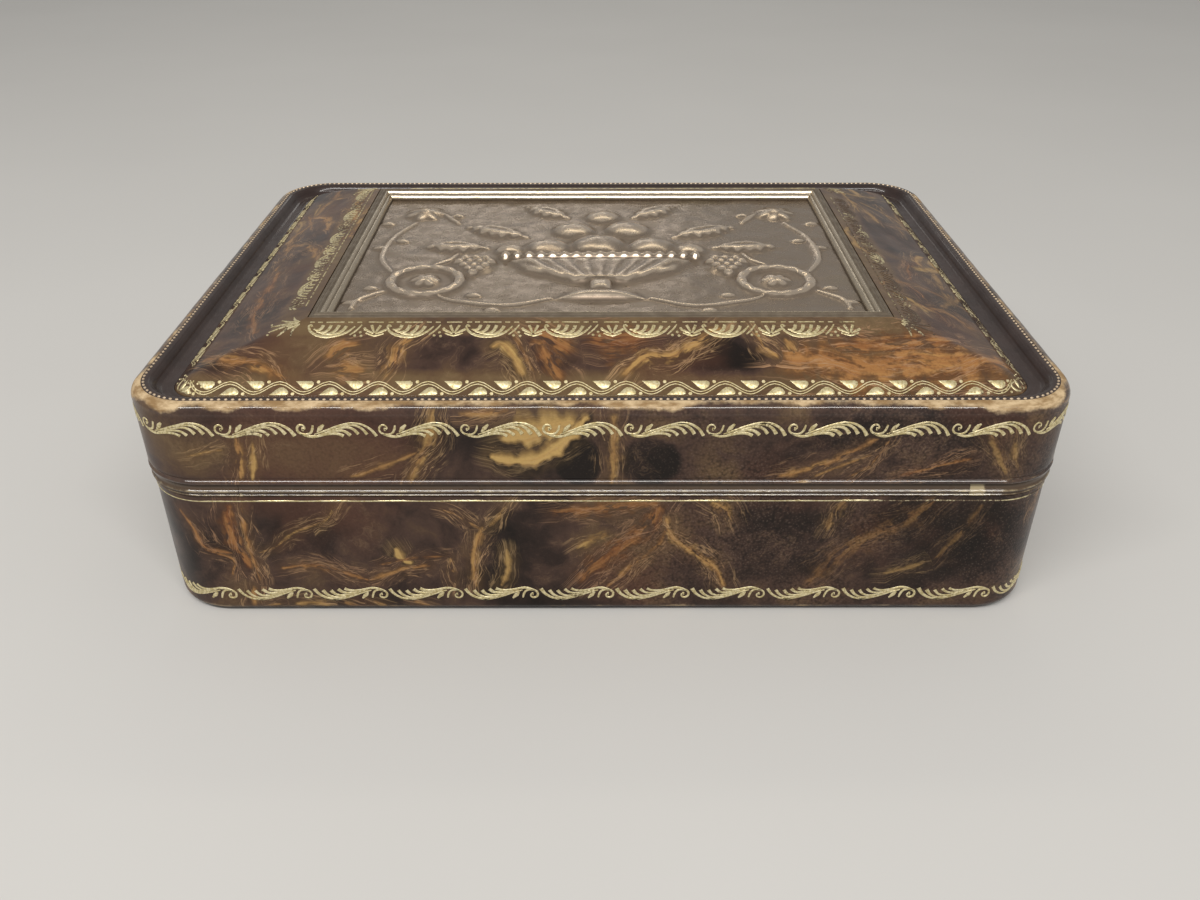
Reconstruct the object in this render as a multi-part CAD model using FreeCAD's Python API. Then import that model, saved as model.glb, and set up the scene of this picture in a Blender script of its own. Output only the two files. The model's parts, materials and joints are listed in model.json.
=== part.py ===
import FreeCAD, Part
import math
import os

from FreeCAD import Vector

# A low hinged box for papers and keepsakes: a wooden case covered in leather, with a sunk gutter,
# a raised hipped panel and a framed metal plaque on its lid. Millimetres, +Z up, +X to the right,
# +Y to the back where the hinges are. The origin is the middle of the underside.

# Outside
lid_width = 240.0
lid_depth = 178.0
corner_radius = 18.0
base_height = 41.7          # table to the top of the rim strips
seam_gap = 0.3              # between the rim strips and the shut lid
lid_side_height = 23.0      # lid's lower edge to the crest of its rim
lid_overhang = 0.8          # the lid stands out past the base's leather all round
least_radius = 0.6          # sharpest corner of an outline that lies far inside

# Leather
leather = 1.0
base_turn_in = 14.0         # leather folded under the bottom board
base_edge_round = 2.0       # base's lower outside edge
lid_edge_round = 0.8        # lid's lower outside edge

# Base boards, lining and underside
base_wall = 8.0
bottom_board = 4.0
base_lining = 1.5
floor_lining = 2.0
lining_drop = 0.2           # linings stop just short of the opening's edge
underside_cloth = 0.6
cloth_margin = 4.0
lining_fit = 0.1

# Folded leather strips along the base's upper edge
strip_height = 3.4
strip_proud = 0.6
strip_round = 1.2
strip_setback_left = 27.6   # front strip's joints in from the lid's ends
strip_setback_right = 26.0
strip_joint_gap = 0.1

# Lid boards and lining
lid_rail = 8.0
lid_board = 5.0
lid_lining = 1.5
lid_top_lining = 2.0

# Rim and gutter round the lid's top
rim_round = 3.0             # outside edge of the rim
rim_flat = 1.2              # flat crest that carries the dotted line
gutter_depth = 3.0
gutter_run = 3.9            # width of the slope from the crest to the gutter's floor
gutter_floor = 2.3
gutter_joint = 0.1          # between the gutter band and the panel's leather

# Raised panel
bevel_run = 4.0
bevel_rise = 2.8
slope_rise = 8.0
slope_crown = 0.7           # how far the slopes swell past a flat plane at their middle

# Plaque, its frame and the filler behind it
frame_length = 156.0
frame_width = 109.0
frame_moulding = 5.0
frame_crest_in = 2.0        # from the frame's outside to its crest
frame_crest_rise = 0.6      # crest above the leather beside it
frame_edge_drop = 0.2       # frame's outside edge below the leather beside it
frame_height = 3.2
plaque_sheet = 0.8
plaque_margin = 0.4         # plaque and filler inside the frame's outside
filler = 3.4
frame_fit = 0.2             # frame to the leather round it

# Embossing on the plaque: a bowl of fruit between leaves, scrolls and flowers. Places are shares of the
# window's half length and half width; forms on the right are repeated on the left.
relief_root = 0.4           # how deep the forms reach into the sheet
relief_crown = 0.7          # size of a form's flat top as a share of its foot
leaf_keel = 0.35            # the same for leaves
fruits = [                  # x, y, radius, rise
    (-0.01, 0.08, 9.5, 2.6), (-0.23, 0.03, 8.0, 2.4), (0.22, 0.05, 8.5, 2.4), (-0.12, 0.34, 7.5, 2.3),
    (0.12, 0.36, 8.0, 2.4), (0.01, 0.6, 6.5, 2.1), (0.38, -0.01, 5.5, 1.9), (-0.38, -0.02, 5.5, 1.9),
]
bowl_rise = 2.0
bowl_rim = [(-0.43, -0.17), (0.43, -0.17), (0.43, -0.09), (-0.43, -0.09)]
bowl_body = [(-0.4, -0.17), (-0.33, -0.36), (-0.12, -0.54), (0.12, -0.54), (0.33, -0.36), (0.4, -0.17)]
bowl_stem = [(-0.06, -0.5), (-0.05, -0.68), (0.05, -0.68), (0.06, -0.5)]
bowl_foot = [(-0.15, -0.66), (-0.19, -0.77), (0.19, -0.77), (0.15, -0.66)]
leaf_half_width = 4.8
leaf_rise = 1.7
leaves = [((0.3, 0.22), (0.62, 0.44)), ((0.46, 0.04), (0.78, 0.06)), ((0.13, 0.58), (0.36, 0.84))]
grapes = (0.52, -0.27)
grapes_radius = 7.0
grapes_rise = 1.5
scroll = (0.7, -0.5)
scroll_radius = 10.0
scroll_half_width = 2.0
scroll_rise = 1.5
scroll_boss_radius = 5.0
scroll_boss_rise = 1.9
flower = (0.81, 0.68)
flower_radius = 7.5
flower_rise = 1.6

# Hinges
hinge_setback = 50.0        # hinge's middle in from the lid's end
hinge_length = 32.0
hinge_stand_off = 2.9       # pin axis behind the lid's back
leaf_thickness = 1.2
leaf_gap = 0.1              # each leaf to the level of the pin axis
leaf_setback = 0.6          # leaf's front edge to the inner face of the lid's rail
mortise_fit = 0.1
knuckle_radius = 2.25
knuckle_clearance = 0.3
knuckle_middle = 12.0
knuckle_side_gap = 0.15
pin_radius = 0.95
pin_clearance = 0.05
pin_head_radius = 1.5
pin_head = 0.6
pin_head_round = 0.35
open_angle = 100.0
stop_margin = 1.5           # degrees past the open angle at which the stop meets the leaf

# Hinge screws
screw_spacing = 20.0
screw_head_radius = 1.8
screw_head = 0.9
screw_shank_radius = 0.9
screw_length = 8.0
screw_slot_width = 0.5
screw_slot_depth = 0.35
screw_fit = 0.05

# Levels and insets that follow from the sizes above; an inset is measured in from the lid's outline
base_face = lid_overhang
base_wood = base_face + leather
base_inside = base_wood + base_wall
base_room = base_inside + base_lining
board_level = underside_cloth + leather
floor_level = board_level + bottom_board
strip_level = base_height - strip_height
wall_level = base_height - leather
lid_level = base_height + seam_gap
rail_level = lid_level + leather
rail_inside = leather + lid_rail
lid_room = rail_inside + lid_lining
rim_level = lid_level + lid_side_height
gutter_level = rim_level - gutter_depth
gutter_start = rim_round + rim_flat
gutter_foot = gutter_start + gutter_run
gutter_end = gutter_foot + gutter_floor
board_top = gutter_level - leather
lid_ceiling = board_top - lid_board
panel_foot = gutter_end + gutter_joint
bevel_top = panel_foot + bevel_run
bevel_level = gutter_level + bevel_rise
panel_level = bevel_level + slope_rise
crest_level = panel_level + frame_crest_rise
frame_level = crest_level - frame_height
plaque_level = frame_level - plaque_sheet
recess_level = plaque_level - filler
hinge_y = lid_depth / 2 + hinge_stand_off
hinge_z = base_height + seam_gap / 2
leaf_front = lid_depth / 2 - rail_inside + leaf_setback
leaf_back = hinge_y - knuckle_radius - knuckle_clearance
screw_y = lid_depth / 2 - leather - lid_rail / 2
far = lid_width + lid_depth


def rounded_wire(width, depth, radius, z):
    x = width / 2
    y = depth / 2
    cut = radius * (1 - math.sqrt(0.5))
    corners = [
        (Vector(x - radius, -y, z), Vector(x - cut, -y + cut, z), Vector(x, -y + radius, z)),
        (Vector(x, y - radius, z), Vector(x - cut, y - cut, z), Vector(x - radius, y, z)),
        (Vector(-x + radius, y, z), Vector(-x + cut, y - cut, z), Vector(-x, y - radius, z)),
        (Vector(-x, -y + radius, z), Vector(-x + cut, -y + cut, z), Vector(-x + radius, -y, z)),
    ]
    edges = []
    here = corners[-1][2]
    for first, middle, last in corners:
        edges.append(Part.makeLine(here, first))
        edges.append(Part.Arc(first, middle, last).toShape())
        here = last
    return Part.Wire(edges)


def outline(inset, z):
    radius = max(corner_radius - inset, least_radius)
    return rounded_wire(lid_width - 2 * inset, lid_depth - 2 * inset, radius, z)


def slab(inset, low, high):
    return Part.Face(outline(inset, low)).extrude(Vector(0, 0, high - low))


def block(x0, x1, y0, y1, z0, z1):
    return Part.makeBox(x1 - x0, y1 - y0, z1 - z0, Vector(x0, y0, z0))


def ring(points):
    # A closed section of (inset, z) corners, swept round the lid's outline. An entry of four numbers
    # is an arc: a point on the way, then its end.
    def place(inset, z):
        return Vector(corner_radius - lid_width / 2, inset - lid_depth / 2, z)

    edges = []
    here = place(*points[0][-2:])
    for point in points[1:] + points[:1]:
        there = place(*point[-2:])
        if len(point) == 4:
            edges.append(Part.Arc(here, place(*point[:2]), there).toShape())
        else:
            edges.append(Part.makeLine(here, there))
        here = there
    return outline(0, 0).makePipeShell([Part.Wire(edges)], True, False)


def mitred(shape, side):
    # The part of a ring between the two 45 degree mitres of one side
    out_x = lid_width / 2 + corner_radius
    out_y = lid_depth / 2 + corner_radius
    in_x = lid_width / 2 - lid_depth / 4
    in_y = lid_depth / 4
    plans = {
        "front": [(-out_x, -out_y), (out_x, -out_y), (in_x, -in_y), (-in_x, -in_y)],
        "back": [(-out_x, out_y), (out_x, out_y), (in_x, in_y), (-in_x, in_y)],
        "left": [(-out_x, -out_y), (-out_x, out_y), (-in_x, in_y), (-in_x, -in_y)],
        "right": [(out_x, -out_y), (out_x, out_y), (in_x, in_y), (in_x, -in_y)],
    }
    plan = [Vector(x, y, -far) for x, y in plans[side]]
    wedge = Part.Face(Part.makePolygon(plan + plan[:1])).extrude(Vector(0, 0, 2 * far))
    return shape.common(wedge)


def loft(wires):
    return Part.makeLoft(wires, True, True)


def cut_all(shape, tools):
    for tool in tools:
        shape = shape.cut(tool)
    return shape


nodes = {}
sides = ["front", "back", "left", "right"]
hinge_places = {"left": hinge_setback - lid_width / 2, "right": lid_width / 2 - hinge_setback}
screw_places = [x + step * screw_spacing / 2 for x in hinge_places.values() for step in (-1, 1)]


# Cuts that the hinges need in the boards, leather and strips

def mortise(centre, low, high):
    half = hinge_length / 2 + mortise_fit
    return block(centre - half, centre + half, leaf_front - mortise_fit, hinge_y, low, high)


def pilot_hole(x, start, direction):
    radius = screw_shank_radius + screw_fit
    depth = screw_length + screw_fit
    return Part.makeCylinder(radius, depth, Vector(x, screw_y, start), Vector(0, 0, direction))


base_leaf_top = hinge_z - leaf_gap
base_leaf_bottom = base_leaf_top - leaf_thickness
lid_leaf_bottom = hinge_z + leaf_gap
lid_leaf_top = lid_leaf_bottom + leaf_thickness
base_hinge_cuts = [mortise(x, base_leaf_bottom, base_height + leather) for x in hinge_places.values()]
base_hinge_cuts += [pilot_hole(x, base_leaf_top, -1) for x in screw_places]
lid_hinge_cuts = [mortise(x, lid_level - leather, lid_leaf_top) for x in hinge_places.values()]
lid_hinge_cuts += [pilot_hole(x, lid_leaf_bottom, 1) for x in screw_places]


# Base: boards, leather, underside

base_ring = slab(base_wood, floor_level, wall_level).cut(slab(base_inside, floor_level, wall_level))
for side in sides:
    board = mitred(base_ring, side)
    nodes["base_" + side + "_board"] = cut_all(board, base_hinge_cuts) if side == "back" else board
nodes["base_bottom_board"] = slab(base_wood, board_level, floor_level)

base_outside = slab(base_face, underside_cloth, strip_level)
lower_edges = [edge for edge in base_outside.Edges if edge.BoundBox.ZMax < underside_cloth + leather / 2]
base_outside = base_outside.makeFillet(min(base_edge_round, corner_radius / 2), lower_edges)
base_cover = base_outside.cut(slab(base_wood, board_level, base_height))
base_cover = base_cover.cut(slab(base_face + base_turn_in, 0, board_level))
nodes["base_leather_cover"] = base_cover
nodes["bottom_infill_card"] = slab(base_face + base_turn_in + lining_fit, underside_cloth, board_level)
nodes["underside_cloth"] = slab(base_face + cloth_margin, 0, underside_cloth)


# Rim strips folded over the base's upper edge

strip_face = base_face - strip_proud
strip_in = strip_face + strip_round
strip_bend = strip_face + strip_round * (1 - math.sqrt(0.5))
strip_curl = strip_round * (1 - math.sqrt(0.5))
strip_ring = ring([
    (base_wood, strip_level),
    (strip_in, strip_level),
    (strip_bend, strip_level + strip_curl, strip_face, strip_level + strip_round),
    (strip_face, base_height - strip_round),
    (strip_bend, base_height - strip_curl, strip_in, base_height),
    (base_inside, base_height),
    (base_inside, wall_level),
    (base_wood, wall_level),
])
strip_ring = cut_all(strip_ring, base_hinge_cuts)
half_gap = strip_joint_gap / 2
strip_joint_left = strip_setback_left - lid_width / 2
strip_joint_right = lid_width / 2 - strip_setback_right
front_span = block(strip_joint_left + half_gap, strip_joint_right - half_gap, -far, 0, 0, far)
left_span = block(-far, -half_gap, -far, far, 0, far)
left_span = left_span.cut(block(strip_joint_left - half_gap, far, -far, 0, 0, far))
right_span = block(half_gap, far, -far, far, 0, far)
right_span = right_span.cut(block(-far, strip_joint_right + half_gap, -far, 0, 0, far))
nodes["rim_strip_front"] = strip_ring.common(front_span)
nodes["rim_strip_left"] = strip_ring.common(left_span)
nodes["rim_strip_right"] = strip_ring.common(right_span)


# Base lining

lining_top = base_height - lining_drop
base_lining_ring = slab(base_inside, floor_level, lining_top).cut(slab(base_room, floor_level, lining_top))
for side in sides:
    nodes["base_lining_" + side] = mitred(base_lining_ring, side)
nodes["base_floor_lining"] = slab(base_room + lining_fit, floor_level, floor_level + floor_lining)


# Lid: rails, board, leather and gutter band. The gutter's slope is two equal arcs that meet at its middle.

gutter_turn = 2 * math.atan2(gutter_depth, gutter_run)
gutter_radius = gutter_run / (2 * math.sin(gutter_turn))


def crest_arc(radius, share):
    angle = gutter_turn * share
    return (gutter_start + radius * math.sin(angle), rim_level - gutter_radius + radius * math.cos(angle))


def foot_arc(radius, share):
    angle = gutter_turn * share
    return (gutter_foot - radius * math.sin(angle), gutter_level + gutter_radius - radius * math.cos(angle))


crest_inner = gutter_radius - leather
foot_outer = gutter_radius + leather
rim_inner = rim_round - leather
rim_curl = rim_round * (1 - math.sqrt(0.5))
rim_bend = rim_inner * (1 - math.sqrt(0.5))
edge_curl = lid_edge_round * (1 - math.sqrt(0.5))

rail_ring = ring([
    (rail_inside, rail_level),
    (leather, rail_level),
    (leather, rim_level - rim_round),
    (leather + rim_bend, rim_level - leather - rim_bend, rim_round, rim_level - leather),
    (gutter_start, rim_level - leather),
    crest_arc(crest_inner, 0.5) + crest_arc(crest_inner, 1),
    foot_arc(foot_outer, 0.5) + foot_arc(foot_outer, 0),
    (rail_inside, board_top),
])
for side in sides:
    rail = mitred(rail_ring, side)
    nodes["lid_" + side + "_rail"] = cut_all(rail, lid_hinge_cuts) if side == "back" else rail
nodes["lid_top_board"] = slab(rail_inside, lid_ceiling, board_top)

lid_cover = ring([
    (rail_inside, lid_level),
    (rail_inside, rail_level),
    (leather, rail_level),
    (leather, rim_level - rim_round),
    (leather + rim_bend, rim_level - leather - rim_bend, rim_round, rim_level - leather),
    (rim_round, rim_level),
    (rim_curl, rim_level - rim_curl, 0, rim_level - rim_round),
    (0, lid_level + lid_edge_round),
    (edge_curl, lid_level + edge_curl, lid_edge_round, lid_level),
])
nodes["lid_leather_cover"] = cut_all(lid_cover, lid_hinge_cuts)

nodes["gutter_band"] = ring([
    (rim_round, rim_level - leather),
    (gutter_start, rim_level - leather),
    crest_arc(crest_inner, 0.5) + crest_arc(crest_inner, 1),
    foot_arc(foot_outer, 0.5) + foot_arc(foot_outer, 0),
    (gutter_end, board_top),
    (gutter_end, gutter_level),
    (gutter_foot, gutter_level),
    foot_arc(gutter_radius, 0.5) + foot_arc(gutter_radius, 1),
    crest_arc(gutter_radius, 0.5) + crest_arc(gutter_radius, 0),
    (rim_round, rim_level),
])


# Lid lining

lid_lining_top = lid_ceiling - lid_top_lining
lid_lining_low = lid_level + lining_drop
lid_lining_ring = slab(rail_inside, lid_lining_low, lid_lining_top)
lid_lining_ring = lid_lining_ring.cut(slab(lid_room, lid_lining_low, lid_lining_top))
for side in sides:
    nodes["lid_lining_" + side] = mitred(lid_lining_ring, side)
nodes["lid_top_lining"] = slab(rail_inside + lining_fit, lid_lining_top, lid_ceiling)


# Raised panel: board and leather, with a recess for the plaque

opening_length = frame_length + 2 * frame_fit
opening_width = frame_width + 2 * frame_fit


def slope_wire(inset, share, level):
    # Outline of the slope, between the bevel's top (share 0) and the plaque's opening (share 1)
    width = (lid_width - 2 * inset) * (1 - share) + opening_length * share
    depth = (lid_depth - 2 * inset) * (1 - share) + opening_width * share
    radius = max(corner_radius - inset, least_radius) * (1 - share) + least_radius * share
    return rounded_wire(width, depth, radius, level)


def panel_solid(foot, top, drop):
    slope_middle = (bevel_level + panel_level) / 2 + slope_crown
    return loft([
        outline(foot, board_top),
        outline(foot, gutter_level),
        slope_wire(top, 0, bevel_level - drop),
        slope_wire(top, 0.5, slope_middle - drop),
        slope_wire(top, 1, panel_level - drop),
    ])


recess = block(
    -opening_length / 2, opening_length / 2, -opening_width / 2, opening_width / 2,
    recess_level, panel_level + leather)
panel_core = panel_solid(panel_foot + leather, bevel_top + leather / 2, leather)
nodes["panel_board"] = panel_core.cut(recess)
nodes["panel_leather"] = panel_solid(panel_foot, bevel_top, 0).cut(panel_core).cut(recess)


# Plaque, frame and filler

def rectangle(half_x, half_y, z):
    corners = [(-half_x, -half_y), (half_x, -half_y), (half_x, half_y), (-half_x, half_y)]
    points = [Vector(x, y, z) for x, y in corners]
    return Part.makePolygon(points + points[:1])


def frame_rectangle(inset, z):
    return rectangle(frame_length / 2 - inset, frame_width / 2 - inset, z)


frame_edge = panel_level - frame_edge_drop
frame_block = loft([
    frame_rectangle(0, frame_level),
    frame_rectangle(0, frame_edge),
    frame_rectangle(frame_crest_in, crest_level),
])
frame_window = loft([
    frame_rectangle(frame_crest_in, crest_level),
    frame_rectangle(frame_moulding, frame_level),
])
nodes["plaque_frame"] = frame_block.cut(frame_window)
plaque_face = Part.Face(frame_rectangle(plaque_margin, plaque_level))


def on_window(x, y, z):
    return Vector(x * (frame_length / 2 - frame_moulding), y * (frame_width / 2 - frame_moulding), z)


def cap_radius(half_width, rise):
    return (half_width ** 2 + rise ** 2) / (2 * rise)


def dome(x, y, radius, rise):
    ball = cap_radius(radius, rise)
    return Part.makeSphere(ball, on_window(x, y, frame_level + rise - ball))


def ring_dome(x, y, radius, half_width, rise):
    tube = cap_radius(half_width, rise)
    return Part.makeTorus(radius, tube, on_window(x, y, frame_level + rise - tube), Vector(0, 0, 1))


def mound(corners, rise, crown):
    # A flat-topped form whose sides lean in to its crown
    middle = sum(corners, Vector()) * (1 / len(corners))
    foot = [corner + Vector(0, 0, -relief_root) for corner in corners]
    top = [middle + (corner - middle) * crown + Vector(0, 0, rise) for corner in corners]
    return loft([Part.makePolygon(points + points[:1]) for points in (foot, top)])


def bowl_part(outline_shares):
    return mound([on_window(x, y, frame_level) for x, y in outline_shares], bowl_rise, relief_crown)


def leaf(start, end):
    way = end - start
    side = Vector(-way.y, way.x, 0).normalize() * leaf_half_width
    third = way * (1 / 3)
    corners = [start, start + third + side, end - third + side, end, end - third - side, start + third - side]
    return mound(corners, leaf_rise, leaf_keel)


round_forms = [dome(*fruit) for fruit in fruits]
relief = [bowl_part(shares) for shares in (bowl_rim, bowl_body, bowl_stem, bowl_foot)]
for hand in (-1, 1):
    round_forms.append(dome(hand * grapes[0], grapes[1], grapes_radius, grapes_rise))
    round_forms.append(dome(hand * flower[0], flower[1], flower_radius, flower_rise))
    round_forms.append(dome(hand * scroll[0], scroll[1], scroll_boss_radius, scroll_boss_rise))
    round_forms.append(ring_dome(hand * scroll[0], scroll[1], scroll_radius, scroll_half_width, scroll_rise))
    for ends in leaves:
        start, end = [on_window(hand * x, y, frame_level) for x, y in ends]
        relief.append(leaf(start, end))
window_face = Part.Face(frame_rectangle(frame_moulding, frame_level - relief_root))
above_sheet = window_face.extrude(Vector(0, 0, frame_height))
relief += [form.common(above_sheet) for form in round_forms]
nodes["plaque"] = plaque_face.extrude(Vector(0, 0, plaque_sheet)).fuse(relief).removeSplitter()
nodes["plaque_filler"] = plaque_face.extrude(Vector(0, 0, -filler))


# Hinges: the base leaf has the two outer knuckles, squared at the back so that they stop the lid leaf

def knuckle(x0, x1, leaf_low):
    barrel = Part.makeCylinder(knuckle_radius, x1 - x0, Vector(x0, hinge_y, hinge_z), Vector(1, 0, 0))
    return barrel.fuse(block(x0, x1, leaf_back, hinge_y, leaf_low, leaf_low + leaf_thickness))


def stop_block(x0, x1):
    # Its top lies where the back edge of the lid leaf comes down at the end of the travel, and starts
    # at the middle of that edge, inside the circle on which it swings
    angle = math.radians(open_angle + stop_margin)
    reach = hinge_y - leaf_back
    start = (leaf_gap + leaf_thickness / 2) * math.sin(angle) - reach * math.cos(angle)

    def top_corner(y):
        return Vector(x0, hinge_y + y, hinge_z + (reach + y * math.cos(angle)) / math.sin(angle))

    section = [
        Vector(x0, hinge_y, hinge_z),
        Vector(x0, hinge_y + knuckle_radius, hinge_z),
        top_corner(knuckle_radius),
        top_corner(start),
        Vector(x0, hinge_y, hinge_z + knuckle_radius),
    ]
    return Part.Face(Part.makePolygon(section + section[:1])).extrude(Vector(x1 - x0, 0, 0))


def screw(x, head_level, direction):
    down = Vector(0, 0, direction)
    start = Vector(x, screw_y, head_level)
    head = Part.makeCone(screw_head_radius, screw_shank_radius, screw_head, start, down)
    shank = Part.makeCylinder(screw_shank_radius, screw_length, start, down)
    slot_side = screw_slot_width / 2
    slot = block(
        x - screw_head_radius, x + screw_head_radius, screw_y - slot_side, screw_y + slot_side,
        head_level - screw_slot_depth, head_level + screw_slot_depth)
    return head.fuse(shank).cut(slot)


def countersink(x, head_level, direction):
    start = Vector(x, screw_y, head_level)
    axis = Vector(0, 0, direction)
    hole = screw_shank_radius + screw_fit
    head = Part.makeCone(screw_head_radius + screw_fit, hole, screw_head, start, axis)
    return head.fuse(Part.makeCylinder(hole, 2 * leaf_thickness, start, axis))


def hinge(centre):
    start = centre - hinge_length / 2
    end = centre + hinge_length / 2
    middle_start = centre - knuckle_middle / 2
    middle_end = centre + knuckle_middle / 2
    gap = knuckle_side_gap / 2
    holes = [centre - screw_spacing / 2, centre + screw_spacing / 2]
    pin_axis = Vector(1, 0, 0)
    pin_hole = Part.makeCylinder(
        pin_radius + pin_clearance, hinge_length, Vector(start, hinge_y, hinge_z), pin_axis)

    base_leaf = block(start, end, leaf_front, leaf_back, base_leaf_bottom, base_leaf_top)
    for x0, x1 in ((start, middle_start - gap), (middle_end + gap, end)):
        base_leaf = base_leaf.fuse(knuckle(x0, x1, base_leaf_bottom)).fuse(stop_block(x0, x1))
    base_leaf = cut_all(base_leaf, [pin_hole] + [countersink(x, base_leaf_top, -1) for x in holes])

    lid_leaf = block(start, end, leaf_front, leaf_back, lid_leaf_bottom, lid_leaf_top)
    lid_leaf = lid_leaf.fuse(knuckle(middle_start + gap, middle_end - gap, lid_leaf_bottom))
    lid_leaf = cut_all(lid_leaf, [pin_hole] + [countersink(x, lid_leaf_bottom, 1) for x in holes])

    pin = Part.makeCylinder(pin_radius, hinge_length, Vector(start, hinge_y, hinge_z), pin_axis)
    for x, outward in ((start, -1), (end, 1)):
        head = Part.makeCylinder(
            pin_head_radius, pin_head, Vector(x, hinge_y, hinge_z), Vector(outward, 0, 0))
        rim = [edge for edge in head.Edges if abs(edge.BoundBox.XMin - x - outward * pin_head) < pin_head / 4
               and edge.BoundBox.XLength < pin_head / 4]
        pin = pin.fuse(head.makeFillet(min(pin_head_round, pin_head / 2), rim))
    return base_leaf.removeSplitter(), lid_leaf.removeSplitter(), pin.removeSplitter()


for name, centre in hinge_places.items():
    base_leaf, lid_leaf, pin = hinge(centre)
    nodes["hinge_base_leaf_" + name] = base_leaf
    nodes["hinge_lid_leaf_" + name] = lid_leaf
    nodes["hinge_pin_" + name] = pin
nodes["hinge_base_screws"] = Part.makeCompound([screw(x, base_leaf_top, -1) for x in screw_places])
nodes["hinge_lid_screws"] = Part.makeCompound([screw(x, lid_leaf_bottom, 1) for x in screw_places])


os.makedirs("parts", exist_ok=True)
for name, shape in nodes.items():
    solids = shape.Solids
    whole = solids[0] if len(solids) == 1 else Part.makeCompound(solids)
    whole.exportStep("parts/" + name + ".step")
    state = "valid" if whole.isValid() else "NOT VALID"
    print(name, len(solids), "solids", round(whole.Volume, 1), "mm3", state)
print(len(nodes), "nodes, overall height", crest_level)
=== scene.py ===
import json
import math

import bmesh
import bpy
import numpy as np
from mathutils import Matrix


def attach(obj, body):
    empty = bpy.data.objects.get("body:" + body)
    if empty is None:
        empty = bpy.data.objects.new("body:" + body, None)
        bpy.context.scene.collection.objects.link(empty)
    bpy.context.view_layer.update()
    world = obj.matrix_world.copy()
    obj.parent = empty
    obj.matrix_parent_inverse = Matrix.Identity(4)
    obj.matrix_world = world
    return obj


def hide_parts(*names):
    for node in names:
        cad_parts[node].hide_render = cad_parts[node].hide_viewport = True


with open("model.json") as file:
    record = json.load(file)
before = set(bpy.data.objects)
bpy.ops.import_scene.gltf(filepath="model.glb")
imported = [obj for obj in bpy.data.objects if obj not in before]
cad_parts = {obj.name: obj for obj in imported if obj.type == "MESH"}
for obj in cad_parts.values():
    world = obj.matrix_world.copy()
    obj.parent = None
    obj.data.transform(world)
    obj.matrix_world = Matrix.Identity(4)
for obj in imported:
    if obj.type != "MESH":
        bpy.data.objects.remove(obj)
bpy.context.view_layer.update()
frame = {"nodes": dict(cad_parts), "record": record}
nodes = frame["nodes"]
mm = 0.001
print("frame loaded,", len(nodes), "nodes")

# The lid's outline, in mm. Every other outline is an inset of it, round the same corner centres.
outline = {"halfX": 120.0, "halfY": 89.0, "corner": 18.0, "frontStep": 0.45, "step": 1.05, "rise": 0.5}
centreX = outline["halfX"] - outline["corner"]
centreY = outline["halfY"] - outline["corner"]
quarter = outline["corner"] * math.pi / 2
frontMiddle = (0.0, -centreY)
cornerCentres = [(centreX, -centreY), (centreX, centreY), (-centreX, centreY), (-centreX, -centreY)]
outlineRuns = [(frontMiddle, cornerCentres[0], -90, -90)]
for turn, here in enumerate(cornerCentres):
    following = cornerCentres[turn + 1] if turn < 3 else frontMiddle
    outlineRuns.append((here, here, 90 * turn - 90, 90 * turn))
    outlineRuns.append((here, following, 90 * turn, 90 * turn))
outlineLength = sum(math.dist(run[0], run[1]) or quarter for run in outlineRuns)
backMiddle = outlineLength / 2


def outlineAt(lengths):
    # corner centre and way out for lengths measured from the middle of the front, to the right
    lengths = np.mod(lengths, outlineLength)
    centre, out = np.zeros((len(lengths), 2)), np.zeros((len(lengths), 2))
    passed = 0.0
    for first, last, angleFrom, angleTo in outlineRuns:
        span = math.dist(first, last) or quarter
        here = (lengths >= passed - 1e-9) & (lengths <= passed + span)
        share = ((lengths[here] - passed) / span)[:, None]
        centre[here] = np.array(first) * (1 - share) + np.array(last) * share
        angle = np.radians(angleFrom + (angleTo - angleFrom) * share[:, 0])
        out[here] = np.stack([np.cos(angle), np.sin(angle)], -1)
        passed += span
    return centre, out


def outlineStations(step, marks=(), frontStep=None):
    # a finer step, where one is given, holds along the front and round its two corners
    lengths, passed = [mark % outlineLength for mark in marks], 0.0
    for k, run in enumerate(outlineRuns):
        span = math.dist(run[0], run[1]) or quarter
        onFront = frontStep and k in (0, 1, 7, 8)
        count = math.ceil(span / (frontStep if onFront else step))
        lengths += list(passed + span * np.arange(count) / count)
        passed += span
    return np.unique(np.round(lengths, 4))


def signed(lengths):
    return np.where(lengths > backMiddle, lengths - outlineLength, lengths)


def ringPoints(lengths, profile):
    # a profile of (inset, z) carried round the outline
    centre, out = outlineAt(lengths)
    profile = np.array(profile, float)
    reach = (outline["corner"] - profile[:, 0])[None, :, None]
    plan = centre[:, None, :] + out[:, None, :] * reach
    level = np.broadcast_to(profile[None, :, 1:2], plan.shape[:2] + (1,))
    return np.concatenate([plan, level], -1)


def bow(centre, radii, angles, count):
    # points on a quarter of an ellipse, as (inset, z)
    turns = np.radians(np.linspace(angles[0], angles[1], count))
    return [(centre[0] + radii[0] * math.cos(t), centre[1] + radii[1] * math.sin(t)) for t in turns]


def evenly(start, end, step):
    count = max(1, round(math.dist(start, end) / step))
    return [tuple(np.array(start) + (np.array(end) - np.array(start)) * k / count) for k in range(count)]


def ripple(lengths, levels, seed, cycles, rate):
    # soft seeded waves that close round the outline
    draw = np.random.default_rng(seed)
    total, waves = 0.0, 14
    for wave in range(waves):
        turns = draw.integers(4, cycles)
        lean = draw.normal(0, rate)
        phase = draw.uniform(0, 6.28)
        total = total + np.sin(2 * math.pi * turns * lengths / outlineLength + lean * levels + phase)
    return total / waves ** 0.5


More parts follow.
